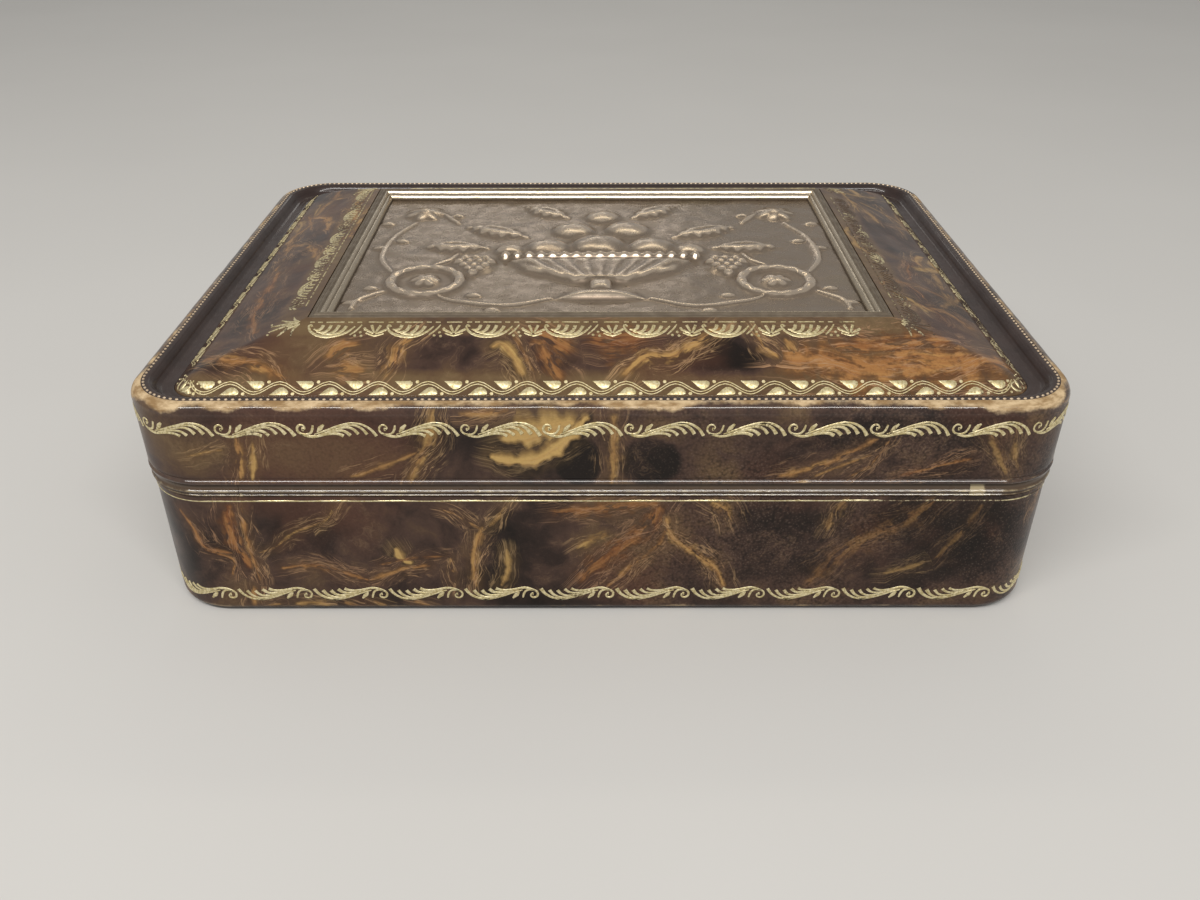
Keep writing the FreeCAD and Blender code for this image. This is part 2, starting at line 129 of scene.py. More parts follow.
def buildMesh(name, verts, faces, fields=None, sharp=40):
    mesh = bpy.data.meshes.new(name)
    mesh.from_pydata((np.asarray(verts, float).reshape(-1, 3) * mm).tolist(), [], faces)
    for key, values in (fields or {}).items():
        values = np.ascontiguousarray(values, np.float32)
        kind, word = ("FLOAT_VECTOR", "vector") if values.ndim > 1 else ("FLOAT", "value")
        mesh.attributes.new(key, kind, "POINT").data.foreach_set(word, values.ravel())
    work = bmesh.new()
    work.from_mesh(mesh)
    bmesh.ops.remove_doubles(work, verts=work.verts, dist=1e-7)
    bmesh.ops.dissolve_degenerate(work, edges=work.edges, dist=1e-7)
    bmesh.ops.recalc_face_normals(work, faces=work.faces)
    work.to_mesh(mesh)
    work.free()
    mesh.shade_smooth()
    mesh.set_sharp_from_angle(angle=math.radians(sharp))
    return mesh


def gridFaces(count, across, loopAlong=True, loopAcross=True):
    ids = np.arange(count * across).reshape(count, across)
    i = np.arange(count if loopAlong else count - 1)[:, None]
    j = np.arange(across if loopAcross else across - 1)[None, :]
    i2, j2 = (i + 1) % count, (j + 1) % across
    faces = np.stack([ids[i, j], ids[i2, j], ids[i2, j2], ids[i, j2]], -1).reshape(-1, 4).tolist()
    if not loopAlong:
        faces += [ids[0].tolist(), ids[-1][::-1].tolist()]
    return faces


def placePiece(name, mesh, material, body, slot, *replaced):
    piece = bpy.data.objects.new(name, mesh)
    bpy.context.scene.collection.objects.link(piece)
    mesh.materials.clear()
    mesh.materials.append(material)
    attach(piece, body)
    if replaced:
        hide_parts(*replaced)
    return piece


# Drawn paths: streaks in the leather, gold strokes, stems on the plaque

def smoothPath(points, perSpan=6):
    points = np.array(points, float)
    ends = np.vstack([2 * points[0] - points[1], points, 2 * points[-1] - points[-2]])
    t = np.linspace(0, 1, perSpan, endpoint=False)[:, None]
    spans = []
    for a, b, c, d in zip(ends[:-3], ends[1:-2], ends[2:-1], ends[3:]):
        spans.append(0.5 * (2 * b + (c - a) * t + (2 * a - 5 * b + 4 * c - d) * t ** 2
                            + (3 * b - a - 3 * c + d) * t ** 3))
    return np.vstack(spans + [points[-1:]])


def nearPath(places, path):
    # distance to a path, length along it, signed side, and the path's length
    steps = np.diff(path, axis=0)
    sizes = np.maximum(np.hypot(steps[:, 0], steps[:, 1]), 1e-9)
    starts = np.concatenate([[0], np.cumsum(sizes)])
    best, along, side = np.full(len(places), np.inf), np.zeros(len(places)), np.zeros(len(places))
    for k, step in enumerate(steps):
        rel = places - path[k]
        t = np.clip((rel @ step) / sizes[k] ** 2, 0, 1)
        gap = np.hypot(rel[:, 0] - t * step[0], rel[:, 1] - t * step[1])
        closer = gap < best
        best[closer] = gap[closer]
        along[closer] = starts[k] + t[closer] * sizes[k]
        side[closer] = (step[0] * rel[closer, 1] - step[1] * rel[closer, 0]) / sizes[k]
    return best, along, side, starts[-1]


streakShape = {"girth": 0.55, "growth": 1.25, "fanShare": 0.8, "fanReach": 2.8, "nearShare": 2.5,
               "nearReach": 4, "outside": -3.0, "firmBelow": -1.5}


def paintStreaks(places, streaks, clouds):
    # fields of a hide: depth in the leading streak, its strength and halo, the place along and across it with
    # its tone, and the shade of the clouds, the darkest of which end firmly
    cloud = np.zeros(len(places))
    for x, y, halfX, halfY, shade in clouds:
        reach = ((places[:, 0] - x) / halfX) ** 2 + ((places[:, 1] - y) / halfY) ** 2
        firm = 5 if shade < streakShape["firmBelow"] else 2
        cloud += shade * np.exp(-reach ** firm)
    vein, force = np.full(len(places), streakShape["outside"]), np.zeros(len(places))
    halo, fibre = np.zeros(len(places)), np.zeros((len(places), 3))
    for k, (width, tone, strength, *points) in enumerate(streaks):
        path = smoothPath(points)
        reach = streakShape["nearShare"] * width + streakShape["nearReach"]
        near = np.all((places > path.min(0) - reach) & (places < path.max(0) + reach), 1)
        if not near.any():
            continue
        gap, along, side, total = nearPath(places[near], path)
        taper = 0.4 + 0.6 * np.sin(math.pi * np.clip(along / total, 0.03, 0.97)) ** 0.6
        girth = streakShape["girth"] * width ** streakShape["growth"] * taper
        girth = girth * (1 + 0.25 * np.sin(0.9 * along + 2 * k) + 0.15 * np.sin(2.1 * along + 5 * k))
        field = 1 - gap / girth
        fan = np.clip(1 - gap / (girth + streakShape["fanShare"] * width + streakShape["fanReach"]), 0, 1)
        better = fan > halo[near]
        chosen = np.flatnonzero(near)[better]
        vein[chosen] = np.maximum(field[better], streakShape["outside"])
        halo[chosen] = fan[better]
        force[chosen] = strength
        fibre[chosen] = np.stack([along[better] + 37 * k, side[better], np.full(better.sum(), tone)], -1)
    return {"vein": vein, "force": force, "halo": halo, "fibre": fibre, "cloud": cloud}


def looseStreaks(seed, count, low, high):
    draw = np.random.default_rng(seed)
    made = []
    for k in range(count):
        here = draw.uniform(low, high)
        heading = draw.choice([90, 80, 100, 30, -35]) + draw.normal(0, 12)
        stride, curl = draw.uniform(2.5, 8), draw.normal(0, 11)
        points = [tuple(here)]
        for step in range(4):
            heading += curl + draw.normal(0, 8)
            turn = math.radians(heading)
            here = np.clip(here + stride * np.array([math.cos(turn), math.sin(turn)]), low, high)
            points.append(tuple(here + draw.normal(0, 0.3, 2)))
        made.append((draw.uniform(0.8, 3.4), draw.uniform(0.2, 0.95), draw.uniform(0.3, 0.9), *points))
    return made


# Streaks as (width, tone, strength, points); tone runs from rust to gold. Faces as (x, z), panel as (x, y).
hideStreaks = {
    "lid": [
        (2.2, 0.6, 1, (-90, 56), (-90, 51), (-91, 44)), (1.5, 0.75, 1, (-86, 55), (-87, 49), (-88, 44)),
        (1.2, 0.8, 0.7, (-103, 51), (-99, 52), (-94, 53)),
        (1.5, 0.6, 0.7, (-63, 45), (-57, 47), (-46, 52)),
        (3, 0.75, 0.75, (-48, 44), (-46, 49), (-43, 54), (-41, 63)),
        (6, 0.97, 1.1, (-23, 57), (-16, 59), (-8, 61)),
        (3.2, 0.98, 1.2, (-27, 51), (-23, 50), (-19, 50), (-15, 51), (-11, 54), (-8, 57), (-4, 62)),
        (2, 0.6, 0.8, (-34, 63), (-29, 63), (-23, 64)),
        (2.5, 0.7, 0.7, (3, 62), (3, 56), (3, 50), (3, 43)),
        (2, 0.55, 0.8, (45, 45), (52, 47), (59, 50), (68, 56)),
        (1, 0.6, 0.7, (54, 45), (60, 48), (67, 51)), (1, 0.5, 0.6, (63, 45), (67, 48), (71, 55)),
        (1.6, 0.3, 0.8, (75, 45), (82, 47), (88, 49), (92, 50)),
        (2.2, 0.75, 0.45, (96, 57), (99, 51), (102, 46)),
        (1.4, 0.8, 0.45, (102, 57), (103, 51), (105, 47)),
    ],
    "base": [
        (1.6, 0.35, 1, (-110, 33), (-107, 28), (-105, 22), (-98, 20)),
        (1, 0.4, 0.8, (-105, 21), (-98, 18), (-99, 13)),
        (3.2, 0.25, 1, (-96, 35), (-97, 29), (-96, 22), (-94, 16)), (2.5, 0.6, 0.9, (-94, 8), (-95, 2)),
        (1.5, 0.55, 1, (-93, 36), (-93, 29), (-93, 23), (-92, 11)),
        (0.6, 0.8, 0.7, (-74, 28), (-71, 31), (-69, 35)),
        (0.8, 0.7, 0.7, (-91, 20), (-86, 22), (-80, 27), (-73, 30), (-67, 35)),
        (2.2, 1, 1, (-54, 21), (-53, 18), (-51, 17)),
        (1.8, 0.4, 0.8, (-85, 15), (-77, 16), (-71, 14), (-63, 11)),
        (1.6, 0.5, 0.9, (-62, 11), (-54, 14), (-46, 16)), (1, 0.4, 0.7, (-59, 16), (-51, 18), (-41, 19)),
        (1.5, 0.6, 0.8, (-40, 18), (-40, 12), (-40, 9)),
        (2, 0.65, 1, (-31, 28), (-33, 23), (-34, 18), (-34, 9)),
        (1, 0.6, 0.8, (-32, 28), (-37, 32), (-41, 34)), (1, 0.8, 0.8, (-31, 27), (-28, 30), (-24, 36)),
        (1.6, 0.9, 0.9, (-25, 21), (-25, 14), (-27, 9)), (2.2, 0.8, 0.8, (-6, 22), (-3, 24), (1, 26)),
        (3, 0.3, 0.8, (-12, 33), (-4, 34), (6, 35), (14, 36)),
        (4.5, 0.25, 0.8, (15, 34), (12, 28), (6, 23), (-1, 16), (-5, 12)),
        (3, 0.7, 0.8, (29, 36), (32, 34), (33, 31)),
        (2.2, 0.65, 1, (17, 31), (18, 26), (22, 22), (27, 18), (31, 14), (33, 9)),
        (1.6, 0.5, 0.8, (17, 28), (15, 23), (10, 18), (5, 12), (2, 9)),
        (2.4, 0.7, 0.45, (63, 37), (61, 34), (59, 28)),
        (4.5, 0.5, 0.3, (85, 36), (80, 31), (72, 26), (65, 21), (60, 15), (56, 10)),
        (2, 0.6, 0.25, (98, 35), (95, 28), (91, 21), (89, 18)),
        (2, 0.8, 0.4, (76, 13), (81, 14), (87, 17)), (2, 0.8, 0.9, (-83, 2.6), (-79, 3.1), (-75, 2.4)),
        (1.3, 0.7, 0.8, (-91, 2), (-88, 2.6)), (1.3, 0.7, 0.8, (-62, 3.4), (-59, 2)),
        (1.3, 0.6, 0.8, (-51, 3.4), (-47, 2)), (1.5, 0.6, 0.7, (-70, 3), (-67, 2)),
    ],
    "panel": [
        (3, 0.5, 1, (-103, -65), (-96, -69), (-89, -70), (-79, -75)),
        (3, 0.3, 0.6, (-92, -57), (-96, -43), (-98, -11)),
        (4.5, 0.45, 0.8, (-70, -68), (-67, -65), (-64, -64)), (4, 0.5, 0.8, (-68, -72), (-61, -72)),
        (3, 0.6, 1, (-49, -61), (-52, -65), (-53, -69), (-55, -73)),
        (2.6, 0.9, 1, (-28, -65), (-26, -64), (-23, -67), (-20, -73)),
        (5, 0.3, 0.9, (-18, -60), (-14, -62), (-9, -66)),
        (4, 0.3, 0.9, (-15, -66), (-13, -70), (-11, -73)),
        (1.2, 0.6, 0.8, (-25, -59), (-22, -63), (-17, -73)), (7, 0.2, 0.7, (-1, -63), (4, -63), (10, -62)),
        (3.2, 0.7, 1, (6, -73), (9, -70), (12, -68), (18, -68), (26, -63), (31, -59)),
        (3, 0.65, 0.9, (41, -61), (43, -65), (45, -68)), (2.5, 0.6, 0.8, (48, -63), (50, -66)),
        (9, 0.4, 1.2, (51, -69), (58, -69), (65, -71), (72, -71), (80, -70), (94, -70), (104, -67)),
        (5, 0.3, 1.0, (62, -65), (71, -65), (80, -64), (90, -63)),
        (3.5, 0.45, 0.45, (89, -43), (97, -41), (102, -48)),
        (3, 0.5, 0.35, (80, -31), (88, -26), (95, -26), (106, -34)), (4, 0.7, 0.7, (88, -42), (92, -43)),
    ],
}
# Dark and light clouds in the same places, as (x, z or y, half widths, shade)
hideClouds = {
    "lid": [
        (-5.5, 49, 5.8, 7, -1.7), (12.2, 49, 7.6, 7.5, -1.7), (33, 51, 10, 8, 0.9), (-70, 51, 17, 7, 1.3),
        (-108, 50, 10, 8, 0.4), (-22, 62, 22, 4, 0.7), (60, 57, 16, 5, -0.7), (90, 56, 9, 6, -0.5),
        (-33, 56, 8, 6, -0.5), (-12, 46, 10, 3, -0.6),
    ],
    "base": [
        (-75, 12, 26, 7, 0.4), (-76, 28, 11, 6, -0.5), (46, 22, 15, 14, -0.8), (92, 22, 20, 17, -1.3),
        (-108, 12, 9, 9, -0.3), (4, 22, 14, 9, 0.4), (-50, 30, 12, 6, 0.35), (-20, 27, 8, 9, -0.4),
        (70, 30, 12, 6, -0.4),
    ],
    "panel": [
        (-88, -60, 12, 8, 0.5), (-40, -66, 9, 6, -0.7), (-5, -72, 8, 4, -0.6), (29, -69, 13, 6, -1.2),
        (80, -68, 28, 6, 0.7), (-97, -20, 9, 30, 0.2),
    ],
}


# Node helpers for materials and trees

def feed(tree, socket, value):
    # a socket takes a link or a constant
    if isinstance(value, bpy.types.NodeSocket):
        tree.links.new(value, socket)
    else:
        socket.default_value = value


def addNode(tree, kind, feeds=None, **settings):
    made = tree.nodes.new(kind)
    for key, value in settings.items():
        setattr(made, key, value)
    for key, value in (feeds or {}).items():
        feed(tree, made.inputs[key], value)
    return made


def calc(tree, operation, *values):
    return addNode(tree, "ShaderNodeMath", dict(enumerate(values)), operation=operation).outputs[0]


def times(tree, *values):
    made = values[0]
    for value in values[1:]:
        made = calc(tree, "MULTIPLY", made, value)
    return made


def vecCalc(tree, operation, *values, scale=None):
    feeds = dict(enumerate(values))
    if scale is not None:
        feeds["Scale"] = scale
    made = addNode(tree, "ShaderNodeVectorMath", feeds, operation=operation)
    return made.outputs["Value" if operation == "DOT_PRODUCT" else "Vector"]


def splitXYZ(tree, vector):
    return addNode(tree, "ShaderNodeSeparateXYZ", {0: vector}).outputs


def joinXYZ(tree, **values):
    return addNode(tree, "ShaderNodeCombineXYZ", values).outputs[0]


def attribute(tree, name, output="Fac"):
    return addNode(tree, "ShaderNodeAttribute", attribute_name=name).outputs[output]


def noise(tree, place, scale, detail=2.0, roughness=0.5, distortion=0.0, colour=False):
    made = addNode(tree, "ShaderNodeTexNoise", {
        "Vector": place, "Scale": scale, "Detail": detail, "Roughness": roughness, "Distortion": distortion})
    return made.outputs["Color" if colour else "Fac"]


def wobble(tree, place, scale, detail, roughness):
    # noise about zero
    return calc(tree, "SUBTRACT", noise(tree, place, scale, detail, roughness), 0.5)


def between(tree, value, low, high, toLow=0.0, toHigh=1.0):
    made = addNode(tree, "ShaderNodeMapRange", {
        "Value": value, "From Min": low, "From Max": high, "To Min": toLow, "To Max": toHigh},
        interpolation_type="SMOOTHSTEP")
    return made.outputs["Result"]


def blendColour(tree, share, first, second):
    made = addNode(tree, "ShaderNodeMix", {0: share, 6: first, 7: second}, data_type="RGBA")
    return made.outputs[2]


def scaled(tree, place, scale):
    return addNode(tree, "ShaderNodeMapping", {"Vector": place, "Scale": scale}).outputs["Vector"]


def rampColour(tree, share, stops):
    made = addNode(tree, "ShaderNodeValToRGB", {"Fac": share})
    marks = made.color_ramp.elements
    marks[0].position, marks[0].color = stops[0]
    marks[1].position, marks[1].color = stops[-1]
    for position, colour in stops[1:-1]:
        marks.new(position).color = colour
    return made.outputs["Color"]


def threadLines(tree, place, stretch, width):
    # thin winding lines: the contour at half height of a stretched noise
    field = wobble(tree, scaled(tree, place, stretch), 1.0, 3, 0.55)
    return between(tree, calc(tree, "ABSOLUTE", field), width, 0.0)


def rgb(red, green, blue):
    return (red, green, blue, 1.0)


def makeGroup(name, inputs, outputs, kind="ShaderNodeTree"):
    tree = bpy.data.node_groups.new(name, kind)
    for way, sockets in (("INPUT", inputs), ("OUTPUT", outputs)):
        for socketName, socketType in sockets:
            tree.interface.new_socket(name=socketName, in_out=way, socket_type="NodeSocket" + socketType)
    return tree, tree.nodes.new("NodeGroupInput").outputs, tree.nodes.new("NodeGroupOutput").inputs


def useGroup(tree, group, feeds):
    return addNode(tree, "ShaderNodeGroup", feeds, node_tree=group).outputs


def startMaterial(name):
    material = bpy.data.materials.new(name)
    material.use_nodes = True
    tree = material.node_tree
    shader = tree.nodes["Principled BSDF"]
    place = addNode(tree, "ShaderNodeTexCoord").outputs["Object"]
    return material, tree, shader, place


def setBump(tree, shader, height, strength, distance):
    bump = addNode(tree, "ShaderNodeBump", {"Height": height, "Strength": strength, "Distance": distance})
    feed(tree, shader.inputs["Normal"], bump.outputs["Normal"])


def setShader(tree, shader, **feeds):
    for key, value in feeds.items():
        feed(tree, shader.inputs[key.replace("_", " ")], value)


# Shader groups that several finishes share

def pebbleGroup():
    # rounded pebbles, plain towards the right and nearly pressed flat towards the left; painted shade in
    # their valleys, a painted glint on their crests
    tree, given, wanted = makeGroup(
        "pebbleGrain", [("Place", "Vector"), ("Pebble Scale", "Float")],
        [("Height", "Float"), ("Valley Shade", "Float"), ("Crest Glint", "Float")])
    place = given["Place"]
    cells = addNode(tree, "ShaderNodeTexVoronoi", {"Vector": place, "Scale": given["Pebble Scale"]},
                    feature="SMOOTH_F1").outputs["Distance"]
    fine = noise(tree, place, 4200, 2)
    patchy = between(tree, noise(tree, place, 22, 2), 0.4, 0.62, 0.4, 1.0)
    region = times(tree, patchy, between(tree, splitXYZ(tree, place)["X"], -0.01, 0.03, 0.3, 1.0))
    pebbles = times(tree, calc(tree, "SUBTRACT", 0.8, cells), region)
    feed(tree, wanted["Height"], calc(tree, "MULTIPLY_ADD", fine, 0.2, pebbles))
    feed(tree, wanted["Valley Shade"], times(tree, between(tree, cells, 0.4, 0.7), region))
    feed(tree, wanted["Crest Glint"], times(tree, between(tree, cells, 0.32, 0.1), region))
    return tree


def foilGroup():
    # gold leaf pressed in with a hot tool: rubbed thin in places, brighter where it took well
    tree, given, wanted = makeGroup(
        "rubbedFoil", [("Place", "Vector"), ("Rubbed", "Float"), ("Tarnish", "Float")],
        [("Color", "Color"), ("Gold", "Float"), ("Roughness", "Float")])
    broad = noise(tree, given["Place"], 130, 3)
    speck = noise(tree, given["Place"], 1500, 3, 0.65)
    kept = calc(tree, "MULTIPLY_ADD", speck, 0.55, times(tree, broad, 0.6))
    gold = between(tree, calc(tree, "SUBTRACT", kept, given["Rubbed"]), 0.1, 0.26)
    foil = blendColour(tree, between(tree, speck, 0.3, 0.7), rgb(0.52, 0.425, 0.2), rgb(0.92, 0.82, 0.53))
    foil = blendColour(tree, given["Tarnish"], foil, rgb(0.24, 0.19, 0.1))
    feed(tree, wanted["Color"], blendColour(tree, gold, rgb(0.07, 0.04, 0.02), foil))
    feed(tree, wanted["Gold"], times(tree, gold, 0.7))
    feed(tree, wanted["Roughness"], between(tree, speck, 0.2, 0.8, 0.55, 0.36))
    return tree


def marblingGroup():
    # stained hide: clouded dark ground, soft ribbons with a dark edge, and fine filaments that fan out
    tree, given, wanted = makeGroup("hideMarbling", [
        ("Place", "Vector"), ("Cloud", "Float"), ("Vein", "Float"), ("Force", "Float"), ("Halo", "Float"),
        ("Fibre", "Vector")], [("Color", "Color"), ("Height", "Float")])
    place, vein = given["Place"], given["Vein"]
    drift = vecCalc(tree, "SUBTRACT", noise(tree, place, 70, 3, colour=True), (0.5, 0.5, 0.5))
    warped = vecCalc(tree, "MULTIPLY_ADD", drift, (0.018, 0.018, 0.018), place)
    broad = noise(tree, warped, 26, 3, 0.5)
    patch = noise(tree, warped, 85, 4, 0.6)
    cloud = calc(tree, "MULTIPLY_ADD", patch, 0.45, times(tree, broad, 0.55))
    cloud = calc(tree, "MULTIPLY_ADD", given["Cloud"], 0.13, cloud)
    cloud = calc(tree, "MULTIPLY_ADD", wobble(tree, place, 900, 3, 0.7), 0.05, cloud)
    shade = rampColour(tree, cloud, (
        (0.33, rgb(0.01, 0.006, 0.0045)), (0.43, rgb(0.028, 0.016, 0.0125)),
        (0.52, rgb(0.066, 0.037, 0.027)), (0.62, rgb(0.11, 0.065, 0.034)), (0.74, rgb(0.16, 0.105, 0.05))))
    rust = between(tree, noise(tree, warped, 19, 3), 0.52, 0.66, 0, 0.6)
    shade = blendColour(tree, rust, shade, rgb(0.09, 0.038, 0.023))
    # stray filaments, seen wherever the stain ran thin
    bent = vecCalc(tree, "MULTIPLY_ADD", drift, (0.03, 0.03, 0.03), place)
    stray = calc(tree, "MAXIMUM", threadLines(tree, bent, (190, 190, 95), 0.03),
                 threadLines(tree, bent, (120, 120, 420), 0.025))
    stray = times(tree, stray, between(tree, patch, 0.5, 0.64, 0, 0.25))
    shade = blendColour(tree, stray, shade, rgb(0.22, 0.14, 0.08))
    # Fibre holds the place along a streak, the side of it and its tone; the gold tones are the smooth ones
    parted = splitXYZ(tree, given["Fibre"])
    side, gilt = parted["Y"], parted["Z"]
    fibre = vecCalc(tree, "MULTIPLY_ADD", drift, (0.0, 5.0, 0.0), given["Fibre"])
    wander = splitXYZ(tree, fibre)
    swell = wobble(tree, place, 260, 3, 0.6)
    frayed = wobble(tree, place, 800, 3, 0.65)
    strand = wobble(tree, scaled(tree, fibre, (0.1, 0.9, 3.0)), 1.0, 3, 0.55)
    # a broad stained area, of force 1.2, is mottled rather than fibrous
    broadArea = between(tree, given["Force"], 1.0, 1.2)

    def inBroadArea(value, share):
        return times(tree, value, between(tree, broadArea, 0.0, 1.0, 1.0, share))

    split = inBroadArea(times(tree, strand, between(tree, gilt, 0.82, 0.97, 1.7, 0.3)), 0.35)
    ragged = calc(tree, "MULTIPLY_ADD", frayed, 0.6, times(tree, swell, 1.1))
    ragged = inBroadArea(times(tree, ragged, between(tree, gilt, 0.82, 0.97, 1.0, 0.4)), 1.6)
    gaps = noise(tree, scaled(tree, fibre, (0.13, 0.4, 4.0)), 1.0, 3, 0.6)
    breaks = times(tree, between(tree, gaps, 0.52, 0.66, 0.0, 1.6), between(tree, gilt, 0.7, 0.9, 1.0, 0.0))
    edge = calc(tree, "ADD", split, calc(tree, "ADD", ragged, vein))
    edge = calc(tree, "SUBTRACT", edge, inBroadArea(breaks, 0.3))
    # a gold ribbon is firm along its right side and fades out to the left
    firm = times(tree, between(tree, gilt, 0.88, 1.0), between(tree, side, 0.3, -0.6, 0.0, 1.1))
    edge = calc(tree, "MULTIPLY_ADD", edge, firm, edge)
    glow = between(tree, given["Halo"], 0.15, 0.95)
    ribbon = between(tree, edge, -0.4, 0.6)
    heart = between(tree, edge, 0.3, 1.0)
    rim = times(tree, between(tree, vein, -1.1, -0.25), between(tree, side, 0.3, -0.5, 0.25, 1.0),
                between(tree, gilt, 0.75, 0.97, 0.25, 1.0))
    # threads wander off to both sides
    threads = 0.0
    for skew, stretch in ((0.0, (0.07, 0.8, 3.0)), (0.3, (0.1, 1.0, 5.0)), (-0.3, (0.1, 1.1, 7.0))):
        aside = calc(tree, "MULTIPLY_ADD", wander["X"], skew, wander["Y"])
        leaning = joinXYZ(tree, X=wander["X"], Y=aside, Z=wander["Z"])
        bunch = between(tree, noise(tree, scaled(tree, leaning, (0.06, 0.3, stretch[2])), 1.0, 2), 0.5, 0.64)
        bunch = times(tree, bunch, threadLines(tree, leaning, stretch, 0.042))
        threads = calc(tree, "MAXIMUM", threads, bunch)
    threads = times(tree, threads, between(tree, given["Halo"], 0.02, 0.5),
                    between(tree, gilt, 0.82, 0.97, 1.0, 0.3))
    tone = calc(tree, "MULTIPLY_ADD", strand, 0.8, gilt)
    wash = rampColour(tree, tone, ((0.1, rgb(0.105, 0.036, 0.013)), (0.55, rgb(0.175, 0.09, 0.034)),
                                   (1.0, rgb(0.27, 0.168, 0.06))))
    bright = rampColour(tree, tone, ((0.1, rgb(0.3, 0.11, 0.034)), (0.5, rgb(0.45, 0.225, 0.075)),
                                     (1.0, rgb(0.6, 0.395, 0.14))))
    pale = blendColour(tree, 0.5, bright, rgb(0.38, 0.27, 0.185))
    for share, strength, colour in (
            (glow, 0.22, wash), (rim, 0.6, rgb(0.012, 0.007, 0.005)), (ribbon, 0.85, wash),
            (heart, 0.65, bright), (threads, 0.8, pale)):
        shade = blendColour(tree, times(tree, share, strength, given["Force"]), shade, colour)
    feed(tree, wanted["Color"], shade)
    feed(tree, wanted["Height"], calc(tree, "MAXIMUM", threads, stray))
    return tree


pebbleGrain, rubbedFoil, hideMarbling = pebbleGroup(), foilGroup(), marblingGroup()

# Levels, in metres, that handling has polished: the lid's rolled lower edge and its rim
polished = {"edge": 0.0429, "edgeFrom": 0.001, "edgeTo": 0.0007, "edgeCoat": 0.9, "rimFrom": 0.0615,
            "rimTo": 0.063}


def marbledLeather(name, pebbleSize, grain, coat, rimCoat):
    material, tree, shader, place = startMaterial(name)
    feeds = {"Place": place, "Fibre": attribute(tree, "fibre", "Vector")}
    feeds.update({key.title(): attribute(tree, key) for key in ("cloud", "vein", "force", "halo")})
    hide = useGroup(tree, hideMarbling, feeds)
    pebble = useGroup(tree, pebbleGrain, {"Place": place, "Pebble Scale": 1 / (pebbleSize * mm)})
    rubbed = wobble(tree, place, 210, 5, 0.7)
    wornAndSheen = calc(tree, "MULTIPLY_ADD", rubbed, 1.3, attribute(tree, "wearAndSheen"))
    wornAndSheen = between(tree, wornAndSheen, 0.3, 0.8, 0, 0.9)
    scuff = noise(tree, scaled(tree, place, (160, 160, 700)), 1.0, 4, 0.65)
    # tan where the leather is rubbed bare; on the lid's rim and rolled lower edge the same tan also stands in
    # for a painted highlight
    bare = blendColour(tree, between(tree, scuff, 0.35, 0.65), rgb(0.34, 0.215, 0.1), rgb(0.75, 0.57, 0.345))
    colour = hide["Color"]
    # painted shade darkens the valleys between pebbles and a painted glint lightens their crests
    for share, shade in ((times(tree, pebble["Valley Shade"], 0.6 * grain), rgb(0.006, 0.004, 0.003)),
                         (times(tree, pebble["Crest Glint"], 0.14 * grain), rgb(0.34, 0.26, 0.2)), (wornAndSheen, bare)):
        colour = blendColour(tree, share, colour, shade)
    gloss = between(tree, noise(tree, place, 70, 3), 0.3, 0.7, 0.3, 0.42)
    level = splitXYZ(tree, place)["Z"]
    fromEdge = calc(tree, "ABSOLUTE", calc(tree, "SUBTRACT", level, polished["edge"]))
    onRim = between(tree, level, polished["rimFrom"], polished["rimTo"], coat, rimCoat)
    onEdge = between(tree, fromEdge, polished["edgeFrom"], polished["edgeTo"], 0.0, polished["edgeCoat"])
    polish = calc(tree, "MAXIMUM", onRim, onEdge)
    polish = times(tree, polish, between(tree, wornAndSheen, 0.2, 0.8, 1.0, 0.15))
    setShader(tree, shader, Base_Color=colour, Roughness=calc(tree, "MULTIPLY_ADD", wornAndSheen, 0.2, gloss),
              Coat_Weight=polish, Specular_IOR_Level=0.1, Coat_Roughness=0.07)
    height = calc(tree, "MULTIPLY_ADD", hide["Height"], 0.2, pebble["Height"])
    setBump(tree, shader, height, 0.12 + 0.2 * grain, 0.0002)
    return material


def plainLeather(name, dark, light, shine, coat):
    material, tree, shader, place = startMaterial(name)
    pebble = useGroup(tree, pebbleGrain, {"Place": place, "Pebble Scale": 1900})["Height"]
    colour = blendColour(tree, noise(tree, place, 90, 4, 0.6), dark, light)
    # tan where the leather is rubbed; on the rim strips the same tan also paints highlight lines along the
    # ridge crests
    bare = calc(tree, "MULTIPLY_ADD", wobble(tree, place, 500, 3, 0.6), 0.9, attribute(tree, "wearAndSheen"))
    colour = blendColour(tree, between(tree, bare, 0.3, 0.75), colour, rgb(0.42, 0.34, 0.2))
    gloss = between(tree, noise(tree, place, 300, 3), 0.3, 0.7, shine, shine + 0.14)
    setShader(tree, shader, Base_Color=colour, Roughness=gloss, Specular_IOR_Level=0.2, Coat_Weight=coat,
              Coat_Roughness=0.07)
    setBump(tree, shader, pebble, 0.15, 0.0001)
    return material


def goldLeaf(name, rubbed, rubbedRight=0.0, tarnish=0.0, shine=1.0, sideFrom=1.0, blush=0.0):
    # more is rubbed off towards the right of the front, and past sideFrom to either side
    material, tree, shader, place = startMaterial(name)
    across = splitXYZ(tree, place)["X"]
    loss = between(tree, across, 0.045, 0.085, rubbed, rubbed + rubbedRight)
    sides = between(tree, calc(tree, "ABSOLUTE", across), sideFrom, sideFrom + 0.003, 0.0, 0.14)
    loss = calc(tree, "ADD", loss, sides)
    foil = useGroup(tree, rubbedFoil, {"Place": place, "Rubbed": loss, "Tarnish": tarnish})
    colour = blendColour(tree, blush, foil["Color"], rgb(0.85, 0.63, 0.5))
    setShader(tree, shader, Base_Color=colour, Metallic=foil["Gold"],
              Roughness=times(tree, foil["Roughness"], shine))
    setBump(tree, shader, noise(tree, place, 2600, 2), 0.15, 0.0001)
    return material


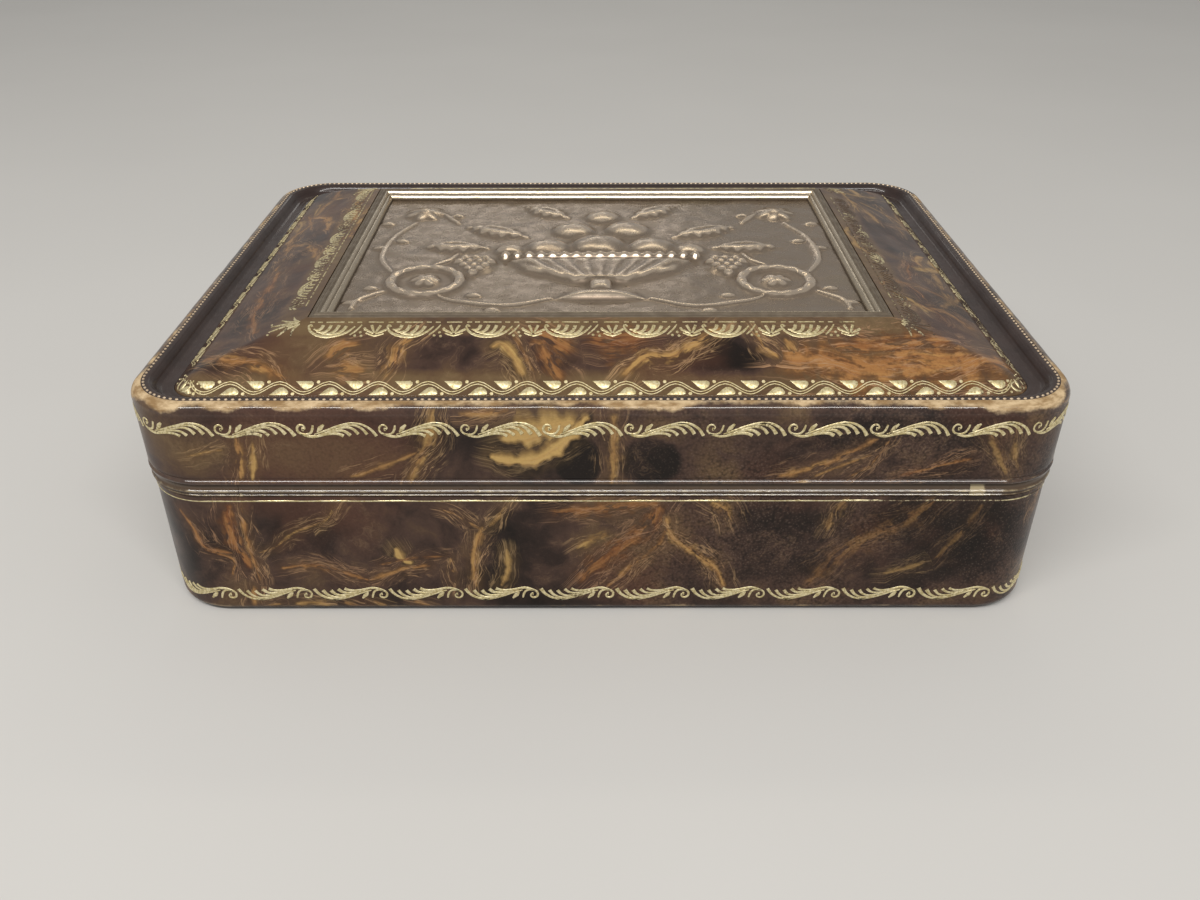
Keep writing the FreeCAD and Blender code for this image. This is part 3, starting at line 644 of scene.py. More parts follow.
def pewterFinish(name, dull, light, dirtShare):
    material, tree, shader, place = startMaterial(name)
    hollow = attribute(tree, "hollow")
    film = noise(tree, place, 45, 4, 0.6)
    stain = noise(tree, place, 260, 4, 0.65)
    metal = blendColour(tree, film, dull, light)
    warm = between(tree, noise(tree, place, 24, 2), 0.56, 0.75, 0, 0.3)
    metal = blendColour(tree, warm, metal, rgb(0.36, 0.33, 0.22))
    metal = blendColour(tree, between(tree, hollow, 0.2, 0.0, 0, 0.8), metal, rgb(0.78, 0.65, 0.51))
    dirt = calc(tree, "MULTIPLY_ADD", calc(tree, "SUBTRACT", stain, 0.5), 0.5, hollow)
    dirt = between(tree, dirt, 0.1, 0.9, 0, dirtShare)
    gloss = between(tree, stain, 0.3, 0.7, 0.2, 0.29)
    setShader(tree, shader, Base_Color=blendColour(tree, dirt, metal, rgb(0.075, 0.054, 0.036)),
              Metallic=between(tree, dirt, 0.0, 0.9, 1.0, 0.15), Specular_IOR_Level=0.2,
              Roughness=calc(tree, "MULTIPLY_ADD", dirt, 0.25, gloss))
    scratches = noise(tree, scaled(tree, place, (300, 2600, 2600)), 1.0, 2)
    height = calc(tree, "MULTIPLY_ADD", scratches, 0.4, noise(tree, place, 700, 3))
    setBump(tree, shader, height, 0.03, 0.0002)
    return material


def velvetFinish(name, pile, crushed):
    material, tree, shader, place = startMaterial(name)
    nap = noise(tree, place, 30, 3, 0.6, 0.6)
    tuft = noise(tree, place, 3600, 2, 0.7)
    colour = blendColour(tree, between(tree, nap, 0.35, 0.65), crushed, pile)
    colour = blendColour(tree, between(tree, tuft, 0.3, 0.7, 0, 0.5), colour, rgb(0.05, 0.004, 0.008))
    setShader(tree, shader, Base_Color=colour, Roughness=between(tree, tuft, 0.2, 0.8, 0.95, 0.75),
              Sheen_Weight=0.6, Sheen_Roughness=0.35, Sheen_Tint=rgb(0.9, 0.35, 0.35),
              Specular_IOR_Level=0.15)
    setBump(tree, shader, calc(tree, "MULTIPLY_ADD", nap, 0.6, tuft), 0.4, 0.0003)
    return material


def woodFinish(name):
    material, tree, shader, place = startMaterial(name)
    bent = vecCalc(tree, "MULTIPLY_ADD", noise(tree, place, 18, 2, colour=True), (0.02, 0.02, 0.02), place)
    rings = addNode(tree, "ShaderNodeTexWave", {"Vector": bent, "Scale": 55, "Distortion": 2.5, "Detail": 2},
                    bands_direction="Y").outputs["Fac"]
    pores = noise(tree, scaled(tree, place, (90, 2200, 2200)), 1.0, 3)
    colour = blendColour(tree, rings, rgb(0.5, 0.33, 0.18), rgb(0.68, 0.5, 0.31))
    colour = blendColour(tree, between(tree, pores, 0.55, 0.7, 0, 0.4), colour, rgb(0.36, 0.22, 0.11))
    setShader(tree, shader, Base_Color=colour, Roughness=between(tree, pores, 0.3, 0.7, 0.55, 0.7))
    setBump(tree, shader, pores, 0.2, 0.0002)
    return material


def fibrousFinish(name, dark, light, scale, rough):
    # card, baize and cast filler: speckled and matt
    material, tree, shader, place = startMaterial(name)
    fleck = noise(tree, place, scale, 3, 0.7)
    broad = noise(tree, place, 40, 2)
    speckle = calc(tree, "MULTIPLY_ADD", broad, 0.4, times(tree, fleck, 0.6))
    setShader(tree, shader, Base_Color=blendColour(tree, speckle, dark, light),
              Roughness=between(tree, fleck, 0.2, 0.8, rough, rough + 0.12))
    setBump(tree, shader, fleck, 0.35, 0.0003)
    return material


def brassFinish(name):
    material, tree, shader, place = startMaterial(name)
    tarnish = noise(tree, place, 240, 4, 0.65)
    colour = blendColour(tree, between(tree, tarnish, 0.42, 0.68), rgb(0.72, 0.5, 0.2), rgb(0.3, 0.19, 0.08))
    drawn = noise(tree, scaled(tree, place, (160, 3000, 3000)), 1.0, 2)
    setShader(tree, shader, Base_Color=colour, Metallic=1.0,
              Roughness=between(tree, tarnish, 0.3, 0.75, 0.22, 0.45))
    setBump(tree, shader, drawn, 0.12, 0.0001)
    return material


coverLeather = marbledLeather("marbledCoverLeather", 0.62, 1.0, 0.3, 0.85)
panelLeather = marbledLeather("marbledPanelLeather", 0.5, 0.2, 0.3, 0.3)
stripLeather = plainLeather("rimStripLeather", rgb(0.036, 0.021, 0.013), rgb(0.115, 0.07, 0.036), 0.24, 0.9)
gutterLeather = plainLeather(
    "gutterLeather", rgb(0.016, 0.0095, 0.0085), rgb(0.056, 0.034, 0.029), 0.34, 0.35)
rollGold = goldLeaf("rollGold", 0.22)
vineGold = goldLeaf("vineGold", 0.14, 0.14, sideFrom=0.104)
borderGold = goldLeaf("plaqueBorderGold", 0.22, 0.12, 0.15, sideFrom=0.0785)
beadGold = goldLeaf("beadGold", 0.2, blush=0.55)
filletGold = goldLeaf("filletGold", 0.22, 0.2, shine=0.5)
plaquePewter = pewterFinish("plaquePewter", rgb(0.33, 0.262, 0.198), rgb(0.425, 0.338, 0.26), 0.8)
framePewter = pewterFinish("framePewter", rgb(0.42, 0.355, 0.265), rgb(0.57, 0.49, 0.37), 0.9)
liningVelvet = velvetFinish("liningVelvet", rgb(0.26, 0.024, 0.038), rgb(0.18, 0.015, 0.026))
boardWood = woodFinish("boardWood")
infillCard = fibrousFinish("infillCard", rgb(0.3, 0.23, 0.16), rgb(0.52, 0.42, 0.31), 1500, 0.8)
undersideBaize = fibrousFinish("undersideBaize", rgb(0.06, 0.038, 0.026), rgb(0.15, 0.1, 0.07), 2600, 0.88)
castFiller = fibrousFinish("castFiller", rgb(0.06, 0.05, 0.042), rgb(0.14, 0.12, 0.1), 700, 0.55)
hingeBrass = brassFinish("hingeBrass")
slotFinish = {"board_wood": boardWood, "infill_card": infillCard, "underside_cloth": undersideBaize,
              "plaque_filler": castFiller, "hinge_brass": hingeBrass, "lining_velvet": liningVelvet}
print("materials made:", len(bpy.data.materials))

# Pieces that keep the frame's own shapes; the velvet linings get softened edges
for part in frame["record"]["subparts"]:
    finish = slotFinish.get(part["material_slot"])
    if finish:
        node = nodes[part["node"]]
        for materialSlot in node.material_slots:
            materialSlot.material = finish
        if not node.material_slots:
            node.data.materials.append(finish)
    if finish == liningVelvet:
        softening = node.modifiers.new("softEdges", "BEVEL")
        softening.width, softening.segments, softening.limit_method = 0.5 * mm, 3, "ANGLE"
print("frame pieces finished")


# Leather covers. A hide's ripple is (seed, cycles, lean), and its loose streaks are (seed, count, low, high).
hinge = {"places": (-70.0, 70.0), "half": 16.1, "edge": 0.02, "lidCut": 43.2, "baseCut": 40.5, "skin": 0.1}
hingeMarks = [backMiddle - x + side * (hinge["half"] + edge) for x in hinge["places"]
              for side in (-1, 1) for edge in (0, hinge["edge"])]
seam = {"depth": 0.07, "half": 0.28, "marks": (-0.6, -0.3, 0.0, 0.25)}
looseSpan = (116, 395)
lidHide = {"face": 0.15, "low": 42.0, "foldBack": 0.9, "rim": 65.0, "rimRound": 3.0, "wave": 0.05,
           "joints": (-90.0, 92.0), "ripple": (11, 70, 0.14), "loose": (21, 40, 43, 63), "calm": (44, 66.5),
           "wearTop": 64.9, "edge": 43.05, "edgeHalf": 0.28, "noStreaks": 90.0}
baseHide = {"face": 0.8, "top": 38.3, "round": 2.0, "foot": 0.6, "turnIn": 14.8, "wave": 0.07,
            "joints": (-91.0, 92.5), "ripple": (12, 60, 0.12), "loose": (31, 56, 2, 37), "calm": (1.5, 38.5),
            "rubbed": 1.6, "rubbedHalf": 1.8}


def inHinge(lengths):
    x = backMiddle - lengths
    return np.any([abs(x - place) <= hinge["half"] + hinge["edge"] / 2 for place in hinge["places"]], axis=0)


def clearHinge(points, cut, outerCount, limit, level, skin):
    # over a hinge leaf a cover stops at a level, and its inside a skin further
    points[cut, :outerCount, 2] = limit(points[cut, :outerCount, 2], level)
    points[cut, outerCount:, 2] = limit(points[cut, outerCount:, 2], level + skin)


def alongRipple(lengths, seed, cycles):
    return ripple(lengths, 0 * lengths, seed, cycles, 0)


def hideStations(hide, marks=()):
    seamMarks = [joint + step for joint in hide["joints"] for step in seam["marks"]]
    return outlineStations(outline["step"], list(marks) + seamMarks, outline["frontStep"])


def pressHide(points, lengths, levels, hide, onFace):
    # shallow waves over the face of a cover, and a groove at each of its joints
    low, high = hide["calm"]
    calm = np.clip((levels - low) / 3, 0, 1) * np.clip((high - levels) / 3, 0, 1) * onFace
    press = (1 + ripple(lengths[:, None], levels[None, :], *hide["ripple"])) * hide["wave"] * calm
    for joint in hide["joints"]:
        press += seam["depth"] * np.exp(-((signed(lengths) - joint) / seam["half"]) ** 2)[:, None] * calm
    points[:, :, :2] -= outlineAt(lengths)[1][:, None, :] * np.maximum(press, 0)[:, :, None]


def hideFields(lengths, heights, hide, name):
    # the drawn streaks of the front, and loose ones on the sides and the back
    spots = np.stack(np.broadcast_arrays(signed(lengths)[:, None], heights[None, :]), -1).reshape(-1, 2)
    seed, count, low, high = hide["loose"]
    near, far = looseSpan
    loose = looseStreaks(seed, count, (near, low), (far, high))
    loose += looseStreaks(seed + 1, count, (-far, low), (-near, high))
    return paintStreaks(spots, hideStreaks[name] + loose, hideClouds[name])


def lidWearAndSheen(lengths, level):
    # rubbed rim: how much shows at each place along it, and how far down the face; from about 80 to 40 mm
    # left of the front's middle the pale band is a painted highlight over rubbed leather
    knots = [(-402, 0.4), (-300, 0.5), (-200, 0.35), (-150, 0.45), (-134, 0.5), (-122, 0.95), (-95, 1),
             (-80, 0.85), (-60, 0.8), (-48, 0.75), (-40, 0.66), (-5, 0.6), (2, 0.8), (12, 0.9), (25, 0.75),
             (32, 0.5), (60, 0.55), (72, 0.8), (95, 0.9), (105, 0.95), (121, 0.95), (132, 0.5), (150, 0.4),
             (200, 0.35), (300, 0.5), (402, 0.4)]
    amount = np.interp(signed(lengths), *zip(*knots)) * (1 + 0.18 * alongRipple(lengths, 5, 60))
    depth = 0.7 + 2.0 * amount ** 3
    return np.clip(1.15 * amount[:, None] * (1 - (lidHide["wearTop"] - level) / depth[:, None]), 0, 1.1)


face, rimRound = lidHide["face"], lidHide["rimRound"]
rimLow = lidHide["rim"] - rimRound
lidOuter = [(1.2, lidHide["low"]), (0.6, 42.02), (0.25, 42.15), (0.06, 42.4), (0.0, 42.7), (0.01, 42.88),
            (0.06, 42.97), (0.4, 43.24), (0.5, 43.33), (0.53, 43.5), (0.4, 43.85), (0.26, 44.15)]
lidOuter += evenly((face, 44.5), (face, rimLow), outline["rise"])
lidOuter += bow((rimRound, rimLow), (rimRound - face, rimRound), (180, 90), 11)
lidInner = [(3.0, 64.0), (2.2, 63.75), (1.4, 63.2), (1.05, 62.5), (1.0, 62.0), (1.0, 43.0), (9.0, 43.0),
            (9.0, lidHide["low"])]
lengths = hideStations(lidHide, hingeMarks)
points = ringPoints(lengths, lidOuter + lidInner)
levels = np.array(lidOuter + lidInner)[:, 1]
onFace = np.arange(len(levels)) < len(lidOuter)
climb = np.cumsum([0] + [math.dist(a, b) for a, b in zip(lidOuter, lidOuter[1:])])
heights = np.concatenate([climb + lidHide["low"] - lidHide["foldBack"],
                          np.full(len(lidInner), lidHide["noStreaks"])])
pressHide(points, lengths, levels, lidHide, onFace)
clearHinge(points, inHinge(lengths), len(lidOuter), np.maximum, hinge["lidCut"], hinge["skin"])
fields = hideFields(lengths, heights, lidHide, "lid")
wearAndSheen = lidWearAndSheen(lengths, np.where(onFace, levels, 0)[None, :])
# a pale line along the lid's rolled lower edge: part rubbed leather, part painted highlight
rolled = np.exp(-((levels - lidHide["edge"]) / lidHide["edgeHalf"]) ** 2) * onFace
wearAndSheen += rolled[None, :] * np.clip(0.22 + 0.15 * alongRipple(lengths, 9, 70), 0, 0.9)[:, None]
fields["wearAndSheen"] = wearAndSheen.ravel()
mesh = buildMesh("lid_leather", points, gridFaces(*points.shape[:2]), fields)
placePiece("lid_leather", mesh, coverLeather, "lid", "marbled_leather", "lid_leather_cover")

face, footRound = baseHide["face"], baseHide["round"]
footTop = baseHide["foot"] + footRound
baseOuter = [(1.5, baseHide["top"]), (face, 38.1)] + evenly((face, 37.8), (face, footTop), outline["rise"])
baseOuter += bow((face + footRound, footTop), (footRound, footRound), (180, 270), 7)
baseOuter += [(6.0, baseHide["foot"]), (baseHide["turnIn"], baseHide["foot"])]
baseInner = [(baseHide["turnIn"], 1.6), (1.8, 1.6), (1.8, baseHide["top"])]
lengths = hideStations(baseHide)
points = ringPoints(lengths, baseOuter + baseInner)
levels = np.array(baseOuter + baseInner)[:, 1]
pressHide(points, lengths, levels, baseHide, np.arange(len(levels)) < len(baseOuter))
fields = hideFields(lengths, levels, baseHide, "base")
rub = np.clip(1 - abs(levels - baseHide["rubbed"]) / baseHide["rubbedHalf"], 0, 1)[None, :]
rub = rub * (0.32 + 0.2 * alongRipple(lengths, 6, 60))[:, None]
fields["wearAndSheen"] = np.clip(rub, 0, 1).ravel()
mesh = buildMesh("base_leather", points, gridFaces(*points.shape[:2]), fields)
placePiece("base_leather", mesh, coverLeather, "base", "marbled_leather", "base_leather_cover")
print("leather covers built")

# Gutter round the panel, with faint creases along it
gutter = {"crest": 65.0, "floor": 62.0, "start": 4.2, "foot": 8.1, "end": 10.4, "creases": (5.3, 6.4, 9.0),
          "creaseDepth": 0.09, "creaseHalf": 0.16, "step": 1.1}


def creased(inset, level):
    dips = [math.exp(-((inset - crease) / gutter["creaseHalf"]) ** 2) for crease in gutter["creases"]]
    return inset, level - sum(gutter["creaseDepth"] * dip for dip in dips)


slopeRun, slopeFall = gutter["foot"] - gutter["start"], gutter["crest"] - gutter["floor"]
slopeLine = [(gutter["start"] + slopeRun * t,
              gutter["crest"] - slopeFall * (t - math.sin(2 * math.pi * t) / (2 * math.pi)))
             for t in np.linspace(0, 1, 27)]
gutterTop = [(3.02, 64.9), (3.1, gutter["crest"]), (3.6, gutter["crest"])] + slopeLine
gutterTop += evenly((gutter["foot"], gutter["floor"]), (gutter["end"] - 0.1, gutter["floor"]), 0.25)[1:]
gutterTop += [(gutter["end"], 61.92)]
gutterTop = [creased(inset, level) for inset, level in gutterTop]
gutterBack = [(gutter["end"], 61.0), (gutter["foot"], 61.0), (6.6, 61.8), (5.2, 63.4),
              (gutter["start"], 64.0), (3.02, 64.0)]
points = ringPoints(outlineStations(gutter["step"]), gutterTop + gutterBack)
fields = {"wearAndSheen": np.zeros(points.shape[0] * points.shape[1])}
mesh = buildMesh("gutter_leather", points, gridFaces(*points.shape[:2]), fields)
placePiece("gutter_leather", mesh, gutterLeather, "lid", "gutter_leather", "gutter_band")

# Folded strips along the base's upper edge: a broad ridge over a narrow one, each as (level, half height) of
# the pale line along its crest, which is part rubbed leather and part painted highlight
strip = {"jointLeft": -92.4, "jointRight": 94.0, "gap": 0.05, "bareTo": 98.2, "nickTo": -91.0,
         "nickTop": 39.4, "ridgeWearAndSheen": ((40.05, 0.22), (38.75, 0.16)), "step": 1.0}
stripOuter = [
    (1.7, 38.3), (1.0, 38.3), (0.66, 38.38), (0.5, 38.52), (0.5, 38.62), (0.54, 38.68), (0.76, 38.85),
    (0.84, 38.93), (0.88, 39.08), (0.8, 39.22), (0.55, 39.38), (0.3, 39.58), (0.2, 39.78), (0.2, 39.88),
    (0.24, 39.95), (0.6, 40.23), (0.74, 40.36), (0.86, 40.7), (0.92, 41.1), (1.05, 41.45), (1.3, 41.7),
    (3.0, 41.7), (9.8, 41.7)]
stripInner = [(9.8, 40.7), (1.85, 40.7)]
insets, levels = np.array(stripOuter + stripInner).T
ridgeWearAndSheen = sum(np.exp(-((levels - level) / half) ** 2) for level, half in strip["ridgeWearAndSheen"]) * (insets < 1.2)
stations = signed(outlineStations(strip["step"], hingeMarks))
for name, start, end in (("front", strip["jointLeft"], strip["jointRight"]),
                         ("right", strip["jointRight"], backMiddle),
                         ("left", backMiddle - outlineLength, strip["jointLeft"])):
    start, end = start + strip["gap"], end - strip["gap"]
    inside = stations[(stations > start) & (stations < end)]
    lengths = np.unique(np.concatenate([[start], inside, [end]]))
    points = ringPoints(lengths, stripOuter + stripInner)
    cut = inHinge(np.mod(lengths, outlineLength))
    clearHinge(points, cut, len(stripOuter), np.minimum, hinge["baseCut"], -hinge["skin"])
    bare = np.clip((strip["bareTo"] - lengths) / 0.6, 0, 1) * (name == "right")
    nick = 0.8 * np.clip((strip["nickTo"] - lengths) / 0.7, 0, 1) * (name == "front")
    bare = bare[:, None] * (insets < 1.4)[None, :] + nick[:, None] * (levels < strip["nickTop"])[None, :]
    # pale lines along the ridge crests: part rubbed leather, part painted highlight
    rubbed = (0.6 + 0.1 * alongRipple(lengths, 8, 80))[:, None] * ridgeWearAndSheen[None, :]
    fields = {"wearAndSheen": np.clip(np.maximum(bare, rubbed), 0, 1).ravel()}
    node = "rim_strip_" + name
    mesh = buildMesh(node + "_leather", points, gridFaces(*points.shape[:2], loopAlong=False), fields)
    placePiece(node + "_leather", mesh, stripLeather, "base", "rim_leather", node)
print("gutter and rim strips built")

# Raised panel: a bevel, then slopes that swell a little towards the plaque
panel = {"foot": 10.5, "bevelTop": 14.5, "low": 62.0, "bevelLevel": 64.8, "top": 72.8, "crown": 0.7,
         "openX": 78.1, "openY": 54.6, "openRound": 0.6, "skin": 1.0, "slopeSteps": 44, "wave": 0.07,
         "bevelTint": 1.2, "borderTint": 0.9, "borderFrom": 0.62, "lift": 0.22}
panelLoose = ((41, 26, (-105, 55), (105, 75)), (42, 16, (79, -50), (105, 55)),
              (43, 14, (-105, -8), (-79, 55)))
lengths = outlineStations(outline["step"], (), outline["frontStep"])
centre, out = outlineAt(lengths)
bevel = [(panel["foot"], 61.0), (panel["foot"], 61.9), (10.58, 62.06)]
bevel += evenly((10.7, 62.15), (14.3, 64.66), 0.6)
foldRadius = outline["corner"] - panel["bevelTop"]
openCentre = centre * np.array([(panel["openX"] - panel["openRound"]) / centreX,
                                (panel["openY"] - panel["openRound"]) / centreY])


def slopePoints(shares, drop):
    rows = []
    for share in shares:
        plan = (centre + out * foldRadius) * (1 - share) + (openCentre + out * panel["openRound"]) * share
        level = panel["bevelLevel"] + (panel["top"] - panel["bevelLevel"]) * share
        level = level + 4 * panel["crown"] * share * (1 - share)
        rows.append(np.concatenate([plan, np.full((len(plan), 1), level - drop)], -1))
    return np.stack(rows, 1)


steps = panel["slopeSteps"]
upper = slopePoints(np.linspace(0.02, 1, steps), 0.0)
swell = ripple(upper[:, :, 0] * 3, upper[:, :, 1], 15, 40, 0.1) * panel["wave"]
upper[:, :, 2] += swell * np.linspace(0, 1, steps)[None, :] * np.linspace(1, 0, steps)[None, :] * 3
under = slopePoints([1, 0.5, 0], panel["skin"])
footBack = ringPoints(lengths, [(11.5, 62.2), (11.5, 61.0)])
points = np.concatenate([ringPoints(lengths, bevel), upper, under, footBack], 1)
streaks = hideStreaks["panel"] + [streak for loose in panelLoose for streak in looseStreaks(*loose)]
fields = paintStreaks(points[:, :, :2].reshape(-1, 2), streaks, hideClouds["panel"])
rows = np.arange(points.shape[1]) - len(bevel)
onBevel = np.clip(-1.6 * out[:, 1] - 0.3, 0, 1)[:, None] * np.clip((6 - rows) / 6, 0, 1)[None, :]
underBorder = np.clip((rows - panel["borderFrom"] * steps) / 3, 0, 1) * (rows < steps)
tint = panel["bevelTint"] * onBevel + panel["borderTint"] * underBorder[None, :]
fields["cloud"] = fields["cloud"] + tint.ravel() + panel["lift"]
fields["wearAndSheen"] = np.zeros(points.shape[0] * points.shape[1])
mesh = buildMesh("panel_hide", points, gridFaces(*points.shape[:2]), fields)
panelHide = placePiece("panel_hide", mesh, panelLeather, "lid", "marbled_leather", "panel_leather")
print("panel built")


# Gold tooling: flat motifs, laid along a border by a node tree

def strokeSolid(points, widths, height, sink=0.12, perSpan=3):
    # a tapering raised stroke with a flat crown
    path = smoothPath(points, perSpan)
    way = np.gradient(path, axis=0)
    way /= np.maximum(np.hypot(way[:, 0], way[:, 1]), 1e-9)[:, None]
    side = np.stack([-way[:, 1], way[:, 0]], -1)
    girth = np.interp(np.linspace(0, 1, len(path)), np.linspace(0, 1, len(widths)), widths)
    rows = []
    for reach, level in ((-1, -sink), (-0.55, height), (0.55, height), (1, -sink)):
        plan = path + side * (girth * reach)[:, None]
        rows.append(np.concatenate([plan, np.full((len(path), 1), level)], -1))
    return np.stack(rows, 1).reshape(-1, 3), gridFaces(len(path), 4, loopAlong=False)


def patchSolid(rim, height, sink=0.12, shrink=0.82):
    # a filled leaf or dot with a bevelled edge
    rim = np.array(rim, float)
    middle = rim.mean(0)
    rings = [np.concatenate([middle + (rim - middle) * k, np.full((len(rim), 1), z)], -1)
             for k, z in ((1, -sink), (shrink, height))]
    return np.stack(rings, 0).reshape(-1, 3), gridFaces(2, len(rim), loopAlong=False)


def ringRim(x, y, radius, count=6):
    turns = [2 * math.pi * k / count for k in range(count)]
    return [(x + radius * math.cos(turn), y + radius * math.sin(turn)) for turn in turns]


def joinSolids(name, solids):
    verts, faces, offset = [], [], 0
    for solidVerts, solidFaces in solids:
        verts.append(solidVerts)
        faces += [[index + offset for index in face] for face in solidFaces]
        offset += len(solidVerts)
    return buildMesh(name, np.vstack(verts), faces, sharp=60)


def borderTree():
    # copies of a motif bent round a rounded rectangle, on a wall, a bevel or a flat
    tree, given, wanted = makeGroup("tooledBorder", [
        ("Motif", "Geometry"), ("Path Width", "Float"), ("Path Depth", "Float"), ("Corner Radius", "Float"),
        ("Copies", "Int"), ("Motif Length", "Float"), ("Start", "Float"), ("Level", "Float"),
        ("Tilt", "Float"), ("Corner Gap", "Float"), ("Finish", "Material")],
        [("Border", "Geometry")], "GeometryNodeTree")
    width, depth = given["Path Width"], given["Path Depth"]
    path = addNode(tree, "GeometryNodeCurvePrimitiveQuadrilateral", {"Width": width, "Height": depth})
    rounding = {"Curve": path.outputs[0], "Count": 20, "Radius": given["Corner Radius"]}
    path = addNode(tree, "GeometryNodeFilletCurve", rounding, mode="POLY").outputs[0]
    total = addNode(tree, "GeometryNodeCurveLength", {"Curve": path}).outputs[0]
    pitch = calc(tree, "DIVIDE", total, given["Copies"])

    def pathAt(length):
        turned = calc(tree, "WRAP", calc(tree, "ADD", length, given["Start"]), total, 0.0)
        sample = addNode(tree, "GeometryNodeSampleCurve", {"Curves": path, "Length": turned}, mode="LENGTH")
        return sample.outputs["Position"], sample.outputs["Tangent"]

    def past(reach, size):
        return calc(tree, "GREATER_THAN", reach, calc(tree, "MULTIPLY_ADD", size, 0.5, given["Corner Gap"]))

    # one point for each copy, but none where its middle lies past both sides of a corner
    row = {"Count": given["Copies"], "Start Location": (0.0, 0.0, 0.0), "Offset": joinXYZ(tree, X=pitch)}
    line = addNode(tree, "GeometryNodeMeshLine", row, mode="OFFSET").outputs[0]
    here = addNode(tree, "GeometryNodeInputPosition").outputs[0]
    flat = splitXYZ(tree, here)
    middle = pathAt(calc(tree, "MULTIPLY_ADD", pitch, 0.5, flat["X"]))[0]
    middle = splitXYZ(tree, vecCalc(tree, "ABSOLUTE", middle))
    pastBoth = times(tree, past(middle["X"], width), past(middle["Y"], depth))
    corners = {"Geometry": line, "Selection": pastBoth}
    line = addNode(tree, "GeometryNodeDeleteGeometry", corners, domain="POINT").outputs[0]
    stretch = joinXYZ(tree, X=calc(tree, "DIVIDE", pitch, given["Motif Length"]), Y=1.0, Z=1.0)
    copies = addNode(tree, "GeometryNodeInstanceOnPoints", {
        "Points": line, "Instance": given["Motif"], "Scale": stretch}).outputs[0]
    copies = addNode(tree, "GeometryNodeRealizeInstances", {"Geometry": copies}).outputs[0]

    # the row of copies is bent round the path and tilted
    onPath, tangent = pathAt(flat["X"])
    inward = vecCalc(tree, "CROSS_PRODUCT", (0.0, 0.0, 1.0), tangent)
    facing = vecCalc(tree, "DOT_PRODUCT", inward, vecCalc(tree, "SCALE", onPath, scale=-1.0))
    inward = vecCalc(tree, "SCALE", inward, scale=calc(tree, "SIGN", facing))
    cosine, sine = calc(tree, "COSINE", given["Tilt"]), calc(tree, "SINE", given["Tilt"])
    inFrom = calc(tree, "SUBTRACT", times(tree, flat["Y"], cosine), times(tree, flat["Z"], sine))
    rise = calc(tree, "ADD", times(tree, flat["Y"], sine), times(tree, flat["Z"], cosine))
    rise = joinXYZ(tree, Z=calc(tree, "ADD", rise, given["Level"]))
    bent = vecCalc(tree, "ADD", onPath, vecCalc(tree, "SCALE", inward, scale=inFrom))
    bent = vecCalc(tree, "ADD", bent, rise)
    copies = addNode(tree, "GeometryNodeSetPosition", {"Geometry": copies, "Position": bent}).outputs[0]
    finished = {"Geometry": copies, "Material": given["Finish"]}
    feed(tree, wanted["Border"], addNode(tree, "GeometryNodeSetMaterial", finished).outputs[0])
    return tree


def laidTree():
    # flat tooling dropped on to a surface, its relief along that surface's normals
    tree, given, wanted = makeGroup("laidTooling", [
        ("Tooling", "Geometry"), ("Surface", "Object"), ("Finish", "Material")], [("Laid", "Geometry")],
        "GeometryNodeTree")
    here = addNode(tree, "GeometryNodeInputPosition").outputs[0]
    target = addNode(tree, "GeometryNodeObjectInfo", {"Object": given["Surface"]}).outputs["Geometry"]
    above = vecCalc(tree, "MULTIPLY_ADD", here, (1.0, 1.0, 0.0), (0.0, 0.0, 0.1))
    fall = addNode(tree, "GeometryNodeRaycast", {
        "Target Geometry": target, "Source Position": above, "Ray Direction": (0.0, 0.0, -1.0),
        "Ray Length": 0.1}).outputs
    lift = vecCalc(tree, "SCALE", fall["Hit Normal"], scale=splitXYZ(tree, here)["Z"])
    lifted = {"Geometry": given["Tooling"], "Position": vecCalc(tree, "ADD", fall["Hit Position"], lift)}
    laid = addNode(tree, "GeometryNodeSetPosition", lifted).outputs[0]
    laid = addNode(tree, "GeometryNodeRealizeInstances", {"Geometry": laid}).outputs[0]
    finished = {"Geometry": laid, "Material": given["Finish"]}
    feed(tree, wanted["Laid"], addNode(tree, "GeometryNodeSetMaterial", finished).outputs[0])
    return tree


tooledBorder, laidTooling = borderTree(), laidTree()


def runTree(tree, mesh, settings):
    # a plain mesh from a node tree; inputs are set by identifier before the first evaluation
    carrier = bpy.data.objects.new("treeCarrier", mesh)
    modifier = carrier.modifiers.new("tooling", "NODES")
    modifier.node_group = tree
    for item in tree.interface.items_tree:
        if item.in_out == "INPUT" and item.name in settings:
            modifier[item.identifier] = settings[item.name]
    bpy.context.scene.collection.objects.link(carrier)
    bpy.context.view_layer.update()
    made = bpy.data.meshes.new_from_object(carrier.evaluated_get(bpy.context.evaluated_depsgraph_get()))
    carrier.modifiers.clear()
    bpy.data.objects.remove(carrier)
    bpy.data.meshes.remove(mesh)
    return made


def borderMesh(name, motif, box, copies, length, level, tilt, finish, at=0.0, cornerGap=100.0):
    # box is (half width, half depth, corner radius); the first copy starts at x = at on the front
    halfX, halfY, radius = box
    start = 1.5 * math.pi * radius + 2 * (halfX + halfY - 2 * radius) + halfX - radius + at
    made = runTree(tooledBorder, motif, {
        "Path Width": 2 * halfX * mm, "Path Depth": 2 * halfY * mm, "Corner Radius": radius * mm,
        "Copies": copies, "Motif Length": length * mm, "Start": start * mm, "Level": level * mm,
        "Tilt": math.radians(tilt), "Corner Gap": cornerGap * mm, "Finish": finish})
    made.name = name
    return made


def insetBox(inset):
    return outline["halfX"] - inset, outline["halfY"] - inset, outline["corner"] - inset


def boxLength(box):
    return 4 * (box[0] + box[1]) - (8 - 2 * math.pi) * box[2]


def mergeMeshes(name, meshes):
    work = bmesh.new()
    for mesh in meshes:
        work.from_mesh(mesh)
    merged = bpy.data.meshes.new(name)
    work.to_mesh(merged)
    work.free()
    return merged


